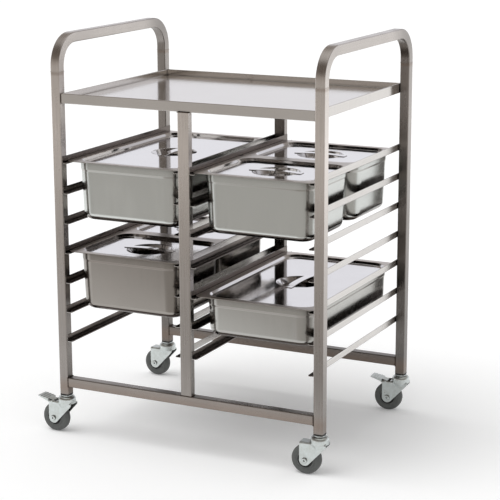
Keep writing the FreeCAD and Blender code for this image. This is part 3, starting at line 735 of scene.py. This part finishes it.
def pan_profile(depth, inset):
    """A pan's wall from its flange down to its foot: (distance in from the flange's edge, height)."""
    mouth = PAN_FLANGE + inset
    step_z = -PAN_NECK
    body_z = step_z - PAN_STEP_HEIGHT
    foot_z = inset - depth
    lean = math.degrees(math.atan(PAN_DRAFT))
    radius = PAN_FOOT_ROUND - inset
    wall = mouth + PAN_STEP
    foot_in = wall + (body_z - foot_z) * PAN_DRAFT
    centre_in = foot_in + radius * (1 / math.cos(math.radians(lean)) - PAN_DRAFT)
    pairs = [
        (mouth, step_z + PAN_STEP_RUN),
        (mouth + PAN_STEP_EASE, step_z),
        (wall - PAN_STEP_EASE, body_z),
        (wall + PAN_DRAFT * PAN_STEP_RUN, body_z - PAN_STEP_RUN),
    ]
    return pairs + arc(centre_in, foot_z + radius, radius, 180 + lean, 270, 2 * FOLD_STEPS)


for name in PANS:
    low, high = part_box(f"{name}_pan")
    size = (high - low) / MM
    place = (low + high) / 2 / MM
    place.z = high.z / MM - PAN_SHEET
    depth = size.z - PAN_SHEET
    bend = PAN_FLANGE_BEND
    outside = arc(PAN_FLANGE - bend, -bend, bend, 90, 0, FOLD_STEPS) + pan_profile(depth, 0)
    inner_bend = bend + PAN_SHEET
    mouth = PAN_FLANGE + PAN_SHEET - inner_bend
    inside = arc(mouth, PAN_SHEET - inner_bend, inner_bend, 90, 0, FOLD_STEPS)
    inside += pan_profile(depth, PAN_SHEET)
    edge = [(0.0, 0.0), (0.0, PAN_SHEET)]
    rings = []
    for inward, z in list(reversed(outside)) + edge + inside:
        share = min(inward / PAN_FLANGE, 1.0)
        corner = PAN_FLANGE_CORNER + (PAN_CORNER - PAN_FLANGE_CORNER) * share
        corner = max(corner - max(inward - PAN_FLANGE, 0.0), PAN_LEAST_CORNER)
        rings.append(ring(size.x - 2 * inward, size.y - 2 * inward, corner, z, PAN_CORNER_STEPS))
    pan = skin(f"{name}_pan_pressing", rings, place, pan_steel)
    evenly_shaded(pan, SHEET_CRISP)
    # Faces are marked by height for the painted shade on the step, the foot and the lower pans.
    heights = [face.center.z / MM - place.z for face in pan.data.polygons]
    for mark, mark_low, mark_high, strength in (
        ("step", -PAN_NECK - PAN_STEP_HEIGHT, -PAN_NECK, 1.0),
        ("foot", -depth - MARK_MARGIN, PAN_FOOT_SHADE - depth, 1.0),
        ("lower_shade", -depth - MARK_MARGIN, PAN_SHEET + MARK_MARGIN, PAN_LOWER_SHADE.get(name, 0.0)),
    ):
        marks = pan.data.attributes.new(mark, "FLOAT", "FACE")
        marks.data.foreach_set("value", [strength * (mark_low < height < mark_high) for height in heights])
    fitted(pan, f"{name}_pan", "pan_steel", f"{name}_pan")

# Lids: flat covers that drop into the pans' mouths, each with a round hand recess.
# Stainless sheet pressed and polished until it mirrors the room.
LID_SHEET = 0.8
LID_SINK = 7.0
LID_SIDE = 16.8
LID_WALL_LEAN = 5.0
LID_BEND = 1.5
CUP_RADIUS = 60.0
CUP_DEPTH = 15.0
CUP_WALL_LEAN = 7.0
LID_CORNER = 41.7
LID_CORNER_STEPS = 12
LID_EDGE_FLAT = 0.48
LID_EDGE_ROUND = 0.25
LID_RIM_DEPTH = 1.0
LID_RIM_ROUGHNESS = 0.3
lid_steel, lid_tree, lid_shader = worked_metal(
    "polished_pressed_stainless", "#DCDADB", "#E2E1E2", "#F8F7F6", 0.08, (60.0, 60.0, 60.0), smudge_mm=110.0,
    relief=0.02, edge_mm=0.3, shade_reach_mm=26.0,
)

# The rim is only brushed, so it is rougher than the panel, and it is painted a soft grey as painted shade
# round the mirror of the panel.
lid_rim_brush_and_shade = add(lid_tree, "ShaderNodeAttribute", attribute_name="rim")
toned(lid_tree, lid_shader, lid_rim_brush_and_shade.outputs["Fac"], linear("#BDB5AF"))
lid_gloss = add(
    lid_tree,
    "ShaderNodeMix",
    {
        "Factor_Float": lid_rim_brush_and_shade.outputs["Fac"],
        "A_Float": lid_shader.inputs["Roughness"].links[0].from_socket,
        "B_Float": LID_RIM_ROUGHNESS,
    },
    data_type="FLOAT",
)
lid_tree.links.new(lid_gloss.outputs[0], lid_shader.inputs["Roughness"])


def lid_wall(sheet_in, top_z, bend_top, bend_foot):
    """A lid's dished wall from its rim to its sunk panel, as (distance in, height) pairs."""
    lean = math.degrees(math.atan2(LID_WALL_LEAN, LID_SINK))
    turn = 90 - lean
    rim_in = sheet_in - bend_top * math.tan(math.radians(turn / 2))
    pairs = arc(rim_in, top_z - bend_top, bend_top, 90, 90 - turn, FOLD_STEPS)
    panel_z = top_z - LID_SINK
    foot_in = sheet_in + LID_WALL_LEAN + bend_foot * math.tan(math.radians(turn / 2))
    return pairs + arc(foot_in, panel_z + bend_foot, bend_foot, 270 - turn, 270, FOLD_STEPS)


def cup_wall(radius, top_z, bend_top, bend_foot):
    """The hand recess's wall, as (radius, height) pairs."""
    lean = math.degrees(math.atan2(CUP_WALL_LEAN, CUP_DEPTH))
    turn = 90 - lean
    lip = radius + bend_top * math.tan(math.radians(turn / 2))
    pairs = arc(-lip, top_z - bend_top, bend_top, 90, 90 - turn, FOLD_STEPS)
    floor = radius - CUP_WALL_LEAN - bend_foot * math.tan(math.radians(turn / 2))
    pairs += arc(-floor, top_z - CUP_DEPTH + bend_foot, bend_foot, 270 - turn, 270, FOLD_STEPS)
    return [(-across, z) for across, z in pairs]


def lid_ring(size, inward, z):
    """Points round a lid at a distance in from its edge, with corners that follow the dish."""
    share = min(inward / LID_SIDE, 1.0)
    corner = PAN_FLANGE_CORNER + (LID_CORNER - PAN_FLANGE_CORNER) * share - max(inward - LID_SIDE, 0.0)
    return ring(size.x - 2 * inward, size.y - 2 * inward, corner, z, LID_CORNER_STEPS)


def circle_ring(radius, z, like):
    """Points round a circle, each in the direction of a point of another ring."""
    count = len(like)
    start = math.atan2(like[0].y, like[0].x)
    turns = [start + 2 * math.pi * step / count for step in range(count)]
    return [Vector((radius * math.cos(turn), radius * math.sin(turn), z)) for turn in turns]


for name in PANS:
    low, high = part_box(f"{name}_lid")
    size = (high - low) / MM
    place = (low + high) / 2 / MM
    place.z = high.z / MM - LID_SHEET
    over = lid_wall(LID_SIDE + LID_SHEET, LID_SHEET, LID_BEND + LID_SHEET, LID_BEND)
    under = lid_wall(LID_SIDE, 0.0, LID_BEND, LID_BEND + LID_SHEET)
    panel_z = LID_SHEET - LID_SINK
    cup_over = cup_wall(CUP_RADIUS - LID_SHEET, panel_z, LID_BEND + LID_SHEET, LID_BEND)
    cup_under = cup_wall(CUP_RADIUS, panel_z - LID_SHEET, LID_BEND, LID_BEND + LID_SHEET)
    top = [lid_ring(size, inward, z) for inward, z in over]
    bottom = [lid_ring(size, inward, z) for inward, z in under]
    top += [circle_ring(radius, z, top[0]) for radius, z in cup_over]
    bottom += [circle_ring(radius, z, bottom[0]) for radius, z in cup_under]
    edge = ((0.0, 0.0), (0.0, LID_EDGE_FLAT), (LID_EDGE_ROUND, LID_SHEET))
    rim = [lid_ring(size, inward, z) for inward, z in edge]
    lid = skin(f"{name}_lid_pressing", list(reversed(bottom)) + rim + top, place, lid_steel)
    evenly_shaded(lid, SHEET_CRISP)
    # The top of the lid is marked as the rim, for its rougher brushing and its painted shade.
    rim_brush_and_shade_marks = lid.data.attributes.new("rim", "FLOAT", "FACE")
    rim_z = (place.z - LID_RIM_DEPTH) * MM
    rim_brush_and_shade_marks.data.foreach_set("value", [float(face.center.z > rim_z) for face in lid.data.polygons])
    fitted(lid, f"{name}_lid", "lid_steel", f"{name}_lid")

# Lid straps: the lifting handle across each hand recess.
# A strip of polished stainless, arched a little, spot-welded to the lid at both ends.
STRAP_WIDTH = 20.0
STRAP_THICKNESS = 1.5
STRAP_LAND = 7.0
STRAP_ROUND = 0.6
STRAP_ROUND_STEPS = 3
STRAP_STEPS = 18


def strap_mesh(name, half_land, rise, place, along_x):
    """A strip with rounded long edges, flat at both ends and arched between them."""
    half_span = half_land - STRAP_LAND
    spine = [(-half_land, 0.0), (-half_span, 0.0)]
    for step in range(1, STRAP_STEPS):
        share = -1 + 2 * step / STRAP_STEPS
        spine.append((share * half_span, rise * (1 - share * share)))
    spine += [(half_span, 0.0), (half_land, 0.0)]
    side = STRAP_WIDTH / 2 - STRAP_ROUND
    top = STRAP_THICKNESS - STRAP_ROUND
    section = (
        arc(side, top, STRAP_ROUND, 0, 90, STRAP_ROUND_STEPS)
        + arc(-side, top, STRAP_ROUND, 90, 180, STRAP_ROUND_STEPS)
        + arc(-side, STRAP_ROUND, STRAP_ROUND, 180, 270, STRAP_ROUND_STEPS)
        + arc(side, STRAP_ROUND, STRAP_ROUND, 270, 360, STRAP_ROUND_STEPS)
    )
    rows = []
    for run, lift in spine:
        row = []
        for across, up in section:
            x, y = (run, across) if along_x else (across, run)
            row.append(Vector((x, y, lift + up)))
        rows.append(row)
    return skin(name, rows, place, lid_steel)


for name in PANS:
    low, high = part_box(f"{name}_lid_strap")
    span = (high - low) / MM
    along_x = span.x > span.y
    half_land = max(span.x, span.y) / 2
    strap_place = (low + high) / 2 / MM
    strap_place.z = low.z / MM
    rise = span.z - STRAP_THICKNESS
    strap = strap_mesh(f"{name}_lid_strip", half_land, rise, strap_place, along_x)
    evenly_shaded(strap, SHEET_CRISP)
    fitted(strap, f"{name}_lid", "lid_steel", f"{name}_lid_strap")

# Castor plugs and stems: what holds each castor in the end of its leg.
# A black nylon plug with a flange, driven into the tube, and a turned steel pin with its bearing plate.
CASTOR_CRISP = 35
FLAT_WITHIN = 0.3
COPY_MERGE_WITHIN = 0.002


def moulded(name, dark, light, gloss, dust, grain, relief, relief_mm):
    """A moulding with dust in patches and a fine grain, each given as (mm, detail, roughness)."""
    material, tree, shader = bare_material(name)
    place = add(tree, "ShaderNodeTexCoord").outputs["Object"]
    patches = []
    for size_mm, detail, roughness in (dust, grain):
        noise = add(
            tree,
            "ShaderNodeTexNoise",
            {"Vector": place, "Scale": 1 / (size_mm * MM), "Detail": detail, "Roughness": roughness},
        )
        patches.append(noise.outputs["Fac"])
    colour = add(
        tree,
        "ShaderNodeMix",
        {"Factor_Float": patches[0], "A_Color": linear(dark), "B_Color": linear(light)},
        data_type="RGBA",
    )
    dulled = add(
        tree,
        "ShaderNodeMapRange",
        {"Value": patches[0], "From Min": 0.3, "From Max": 0.7, "To Min": gloss[0], "To Max": gloss[1]},
    )
    raised = add(
        tree,
        "ShaderNodeBump",
        {"Strength": relief, "Distance": relief_mm * MM, "Height": patches[1]},
    )
    tree.links.new(colour.outputs[2], shader.inputs["Base Color"])
    tree.links.new(dulled.outputs[0], shader.inputs["Roughness"])
    tree.links.new(raised.outputs[0], shader.inputs["Normal"])
    return material


# Black nylon: nearly matt, with a film of floor dust that greys it in patches.
nylon = moulded(
    "black_moulded_nylon", "#100F0E", "#24211F", gloss=(0.42, 0.6), dust=(12.0, 4.0, 0.5),
    grain=(1.5, 3.0, 0.5), relief=0.25, relief_mm=0.05,
)

# Bright zinc plate over pressed steel: a soft bluish to greenish sheen in cloudy patches.
zinc = worked_metal(
    "bright_zinc_plate", "#C6CBC7", "#DCE3E3", "#F0F4F4", 0.32, (9.0, 9.0, 9.0), smudge_mm=22.0, edge_mm=0.7
)[0]


def pressed_copy(node, name, material, edge_round):
    """A smooth copy of a CAD node: its triangles merged, its flats made whole and its edges rounded."""
    solid = bmesh.new()
    solid.from_mesh(frame["nodes"][node].data)
    bmesh.ops.remove_doubles(solid, verts=solid.verts, dist=COPY_MERGE_WITHIN * MM)
    bmesh.ops.dissolve_limit(
        solid,
        angle_limit=math.radians(FLAT_WITHIN),
        use_dissolve_boundaries=False,
        verts=solid.verts,
        edges=solid.edges,
    )
    mesh = bpy.data.meshes.new(name)
    solid.to_mesh(mesh)
    solid.free()
    mesh.materials.clear()
    mesh.materials.append(material)
    piece = put_in_scene(name, mesh)
    soften = piece.modifiers.new("rounded_edges", "BEVEL")
    soften.width = edge_round * MM
    soften.segments = 2
    soften.limit_method = "ANGLE"
    soften.angle_limit = math.radians(CASTOR_CRISP)
    soften.use_clamp_overlap = True
    made_plain(piece)
    evenly_shaded(piece, CASTOR_CRISP)
    return piece


CORNERS = ("front_left", "front_right", "rear_left", "rear_right")
for corner in CORNERS:
    plug = pressed_copy(f"{corner}_castor_plug", f"{corner}_plug_moulding", nylon, edge_round=0.4)
    fitted(plug, "frame", "plug_nylon", f"{corner}_castor_plug")
    stem = pressed_copy(f"{corner}_castor_stem", f"{corner}_stem_turning", zinc, edge_round=0.3)
    fitted(stem, "frame", "castor_zinc", f"{corner}_castor_stem")

# Castor forks and axles: the swivelling fork with its domed bearing bell, and the bolt through the wheel.
# Steel sheet pressed to shape, plated, and riveted to the stem so that it turns freely.
for corner in CORNERS:
    fork = pressed_copy(f"{corner}_castor_fork", f"{corner}_fork_pressing", zinc, edge_round=0.5)
    fitted(fork, f"{corner}_castor", "castor_zinc", f"{corner}_castor_fork")
    axle = pressed_copy(f"{corner}_castor_axle", f"{corner}_axle_bolt", zinc, edge_round=0.3)
    fitted(axle, f"{corner}_castor", "castor_zinc", f"{corner}_castor_axle")

# Wheels: a hard moulded core with a grey tyre, free to roll on the axle bolt.
# The core is black plastic, and the tyre is non-marking grey rubber moulded onto it.
WHEEL_RADIUS = 37.5
TYRE_HALF = 12.0
TYRE_BORE = 19.5
TREAD_ROUND = 8.0
TREAD_FLAT_HALF = 0.4
GROOVE_START = 3.0
GROOVE_END = 5.0
GROOVE_SLOPE = 0.6
GROOVE_DEPTH = 0.5
TREAD_STEPS = 8
CORE_BORE = 4.05
CORE_CHAMFER = 0.6
HUB_RADIUS = 10.0
HUB_HALF = 13.0
HUB_DRAFT = 0.4
HUB_FILLET = 1.0
WEB_HALF = 4.0
RIM_INSIDE = 15.6
RIM_HALF = 10.0
RIM_DRAFT = 0.2
RIM_FILLET = 0.8
WHEEL_STEPS = 72

# Grey rubber: dull and soft to the eye, with a fine moulded grain and patches of floor dust.
rubber = moulded(
    "grey_moulded_rubber", "#4C4E4C", "#727472", gloss=(0.62, 0.85), dust=(16.0, 5.0, 0.65),
    grain=(1.2, 2.0, 0.5), relief=0.3, relief_mm=0.08,
)

# Black core plastic: harder and a little shinier than the tyre, with shallow flow marks.
core_plastic = moulded(
    "black_moulded_core_plastic", "#121110", "#262421", gloss=(0.36, 0.52), dust=(8.0, 4.0, 0.5),
    grain=(8.0, 4.0, 0.5), relief=0.2, relief_mm=0.05,
)


def turned(name, outline, centre, axle, material):
    """A closed outline of (radius, place along the axle) pairs turned about the axle."""
    across = axle.cross(Vector((0, 0, 1))).normalized()
    up = across.cross(axle).normalized()
    lathe = bmesh.new()
    rows = []
    for step in range(WHEEL_STEPS):
        angle = 2 * math.pi * step / WHEEL_STEPS
        spoke = across * math.cos(angle) + up * math.sin(angle)
        rows.append([lathe.verts.new(centre + (spoke * radius + axle * run) * MM) for radius, run in outline])
    for here, there in zip(rows, rows[1:] + rows[:1]):
        for a in range(len(outline)):
            b = (a + 1) % len(outline)
            lathe.faces.new((here[a], here[b], there[b], there[a]))
    bmesh.ops.remove_doubles(lathe, verts=lathe.verts, dist=MERGE_WITHIN * MM)
    bmesh.ops.recalc_face_normals(lathe, faces=lathe.faces)
    mesh = bpy.data.meshes.new(name)
    lathe.to_mesh(mesh)
    lathe.free()
    mesh.materials.append(material)
    piece = put_in_scene(name, mesh)
    evenly_shaded(piece, CASTOR_CRISP)
    return piece


joints = {joint["name"]: joint for joint in frame["record"]["behaviour"]["joints"]}
tread_in = WHEEL_RADIUS - TREAD_ROUND
tyre_half = [
    (WHEEL_RADIUS, TREAD_FLAT_HALF),
    *arc(tread_in, TYRE_HALF - TREAD_ROUND, TREAD_ROUND, 0, 90, TREAD_STEPS),
    (TYRE_BORE + GROOVE_END, TYRE_HALF),
    (TYRE_BORE + GROOVE_END - GROOVE_SLOPE, TYRE_HALF - GROOVE_DEPTH),
    (TYRE_BORE + GROOVE_START + GROOVE_SLOPE, TYRE_HALF - GROOVE_DEPTH),
    (TYRE_BORE + GROOVE_START, TYRE_HALF),
    (TYRE_BORE, TYRE_HALF),
]
tyre_outline = [(radius, -run) for radius, run in reversed(tyre_half)] + tyre_half
core_half = [
    (CORE_BORE, HUB_HALF),
    (HUB_RADIUS - CORE_CHAMFER, HUB_HALF),
    (HUB_RADIUS, HUB_HALF - CORE_CHAMFER),
    (HUB_RADIUS + HUB_DRAFT, WEB_HALF + HUB_FILLET),
    (HUB_RADIUS + HUB_DRAFT + HUB_FILLET, WEB_HALF),
    (RIM_INSIDE - RIM_DRAFT - RIM_FILLET, WEB_HALF),
    (RIM_INSIDE - RIM_DRAFT, WEB_HALF + RIM_FILLET),
    (RIM_INSIDE, RIM_HALF - CORE_CHAMFER),
    (RIM_INSIDE + CORE_CHAMFER, RIM_HALF),
    (TYRE_BORE, RIM_HALF),
]
core_outline = core_half + [(radius, -run) for radius, run in reversed(core_half)]
for corner in CORNERS:
    roll = joints[f"{corner}_roll"]
    centre = Vector(roll["pos_m"])
    axle = Vector(roll["axis"]).normalized()
    tyre = turned(f"{corner}_tyre_moulding", tyre_outline, centre, axle, rubber)
    fitted(tyre, f"{corner}_wheel", "tyre_rubber", f"{corner}_tyre")
    core = turned(f"{corner}_core_moulding", core_outline, centre, axle, core_plastic)
    fitted(core, f"{corner}_wheel", "core_plastic", f"{corner}_wheel_core")

# Brake pedals: foot levers on two of the castors, which press a shoe down onto the tyre.
# Plated steel pressed with a ribbed tread, turning on a pin through the fork.
for corner in ("front_left", "rear_right"):
    pedal = pressed_copy(f"{corner}_brake_pedal", f"{corner}_pedal_pressing", zinc, edge_round=0.4)
    fitted(pedal, f"{corner}_brake", "castor_zinc", f"{corner}_brake_pedal")

# Studio: a pale seamless floor that runs on past the picture, lit by the room and one broad soft lamp.
# The paper is white under and behind the trolley, and towards the camera it is painted grey as painted shade
# for that side, where the room is dimmer too.
# Its sizes, and the camera's place, are in metres.
FLOOR_HALF = 60.0
FLOOR_LIFT = 0.12
TOWARDS_CAMERA = (0.443, -0.896, 0.0)
LAMP_AIM = (0.35, 0.25, -1.0)


def in_view(tree):
    """1 for a ray that the eye, a mirror or glass sees by, and 0 for one that only carries light."""
    rays = add(tree, "ShaderNodeLightPath")
    shown = rays.outputs["Is Camera Ray"]
    for way in ("Is Glossy Ray", "Is Transmission Ray"):
        shown = add(tree, "ShaderNodeMath", {0: shown, 1: rays.outputs[way]}, operation="MAXIMUM").outputs[0]
    return shown


floor_corners = [
    (-FLOOR_HALF, -FLOOR_HALF, 0),
    (FLOOR_HALF, -FLOOR_HALF, 0),
    (FLOOR_HALF, FLOOR_HALF, 0),
    (-FLOOR_HALF, FLOOR_HALF, 0),
]
floor_mesh = bpy.data.meshes.new("studio_floor")
floor_mesh.from_pydata(floor_corners, [], [(0, 1, 2, 3)])
floor_paper, floor_tree, floor_shader = bare_material("pale_studio_paper")
floor_place = add(floor_tree, "ShaderNodeTexCoord")
floor_out = add(
    floor_tree,
    "ShaderNodeVectorMath",
    {"Vector": floor_place.outputs["Object"], "Vector_001": TOWARDS_CAMERA},
    operation="DOT_PRODUCT",
)
# Painted shade: the floor is painted grey towards the camera.
floor_shade_share = add(
    floor_tree,
    "ShaderNodeMapRange",
    {"Value": floor_out.outputs["Value"], "From Min": 0.56, "From Max": 1.0},
    interpolation_type="SMOOTHSTEP",
)
floor_colour = add(
    floor_tree,
    "ShaderNodeMix",
    {"Factor_Float": floor_shade_share.outputs[0], "A_Color": linear("#FBFBFB"), "B_Color": linear("#BEBAB6")},
    data_type="RGBA",
)
floor_tree.links.new(floor_colour.outputs[2], floor_shader.inputs["Base Color"])
floor_bare = add(floor_tree, "ShaderNodeMath", {0: 1.0, 1: floor_shade_share.outputs[0]}, operation="SUBTRACT")
floor_white = add(
    floor_tree,
    "ShaderNodeMath",
    {0: in_view(floor_tree), 1: floor_bare.outputs[0]},
    operation="MULTIPLY",
)
floor_lift = add(
    floor_tree,
    "ShaderNodeMath",
    {0: floor_white.outputs[0], 1: FLOOR_LIFT},
    operation="MULTIPLY",
)
floor_tree.links.new(floor_lift.outputs[0], floor_shader.inputs["Emission Strength"])
floor_shader.inputs["Emission Color"].default_value = linear("#FFFFFF")
floor_shader.inputs["Roughness"].default_value = 1.0
floor_shader.inputs["Specular IOR Level"].default_value = 0.0
floor_mesh.materials.append(floor_paper)
floor = put_in_scene("studio_floor", floor_mesh)

room = bpy.data.worlds.new("studio_room")
room.use_nodes = True
room_tree = room.node_tree
room_tree.nodes.clear()
room_rays = add(room_tree, "ShaderNodeLightPath")
room_way = add(room_tree, "ShaderNodeTexCoord")
room_split = add(room_tree, "ShaderNodeSeparateXYZ", {"Vector": room_way.outputs["Generated"]})
room_front = add(
    room_tree,
    "ShaderNodeMapRange",
    {"Value": room_split.outputs["Y"], "From Min": 0.45, "From Max": -0.25},
    interpolation_type="SMOOTHSTEP",
)
room_tones = {}
for side, low_z, high_z, low_tone, high_tone in (
    ("rear", 0.3, 0.55, "#F3F3F8", "#A09993"),
    ("front", 0.05, 0.4, "#BDB6B0", "#6F6760"),
):
    rise = add(
        room_tree,
        "ShaderNodeMapRange",
        {"Value": room_split.outputs["Z"], "From Min": low_z, "From Max": high_z},
        interpolation_type="SMOOTHSTEP",
    )
    room_tones[side] = add(
        room_tree,
        "ShaderNodeMix",
        {"Factor_Float": rise.outputs[0], "A_Color": linear(low_tone), "B_Color": linear(high_tone)},
        data_type="RGBA",
    )
room_walls = add(
    room_tree,
    "ShaderNodeMix",
    {
        "Factor_Float": room_front.outputs[0],
        "A_Color": room_tones["rear"].outputs[2],
        "B_Color": room_tones["front"].outputs[2],
    },
    data_type="RGBA",
)
room_overhead = add(
    room_tree,
    "ShaderNodeMapRange",
    {"Value": room_split.outputs["Z"], "From Min": 0.75, "From Max": 0.95},
    interpolation_type="SMOOTHSTEP",
)
room_mirrored = add(
    room_tree,
    "ShaderNodeMix",
    {
        "Factor_Float": room_overhead.outputs[0],
        "A_Color": room_walls.outputs[2],
        "B_Color": linear("#E8E6E4"),
    },
    data_type="RGBA",
)
room_tone = add(
    room_tree,
    "ShaderNodeMix",
    {
        "Factor_Float": room_rays.outputs["Is Camera Ray"],
        "A_Color": room_mirrored.outputs[2],
        "B_Color": linear("#FFFFFF"),
    },
    data_type="RGBA",
)
room_light = add(room_tree, "ShaderNodeBackground", {"Color": linear("#FFFFFF"), "Strength": 0.62})
room_white = add(room_tree, "ShaderNodeBackground", {"Color": room_tone.outputs[2], "Strength": 1.0})
room_mix = add(
    room_tree,
    "ShaderNodeMixShader",
    {0: in_view(room_tree), 1: room_light.outputs[0], 2: room_white.outputs[0]},
)
add(room_tree, "ShaderNodeOutputWorld", {"Surface": room_mix.outputs[0]})
bpy.context.scene.world = room

lamp = bpy.data.lights.new("broad_soft_lamp", "SUN")
lamp.energy = 1.25
lamp.angle = math.radians(50)
lamp_object = bpy.data.objects.new("broad_soft_lamp", lamp)
lamp_object.visible_glossy = False
lamp_object.rotation_euler = Vector(LAMP_AIM).to_track_quat("-Z", "Y").to_euler()
bpy.context.scene.collection.objects.link(lamp_object)
bpy.context.scene.view_settings.view_transform = "Standard"

# Camera: where the photograph was taken from, worked out from the straight edges of the frame.
# A long lens a good four metres away, to the right of the middle and higher than the handles.
CAMERA_PLACE = (1.8797, -3.7182, 1.4451)
CAMERA_YAW = -0.4595
CAMERA_PITCH = 0.2313
CAMERA_ROLL = -0.0033
FOCAL_PIXELS = 1656.4
PICTURE_PIXELS = 500
forward = Vector((
    math.sin(CAMERA_YAW) * math.cos(CAMERA_PITCH),
    math.cos(CAMERA_YAW) * math.cos(CAMERA_PITCH),
    -math.sin(CAMERA_PITCH),
))
level = Vector((math.cos(CAMERA_YAW), -math.sin(CAMERA_YAW), 0))
upright = level.cross(forward)
right = level * math.cos(CAMERA_ROLL) + upright * math.sin(CAMERA_ROLL)
upward = upright * math.cos(CAMERA_ROLL) - level * math.sin(CAMERA_ROLL)
lens = bpy.data.cameras.new("picture_camera")
lens.sensor_width = 36.0
lens.lens = FOCAL_PIXELS * lens.sensor_width / PICTURE_PIXELS
lens.clip_end = 200.0
camera = bpy.data.objects.new("picture_camera", lens)
turn = Matrix((right, upward, -forward)).transposed().to_4x4()
camera.matrix_world = Matrix.Translation(CAMERA_PLACE) @ turn
bpy.context.scene.collection.objects.link(camera)
bpy.context.scene.camera = camera
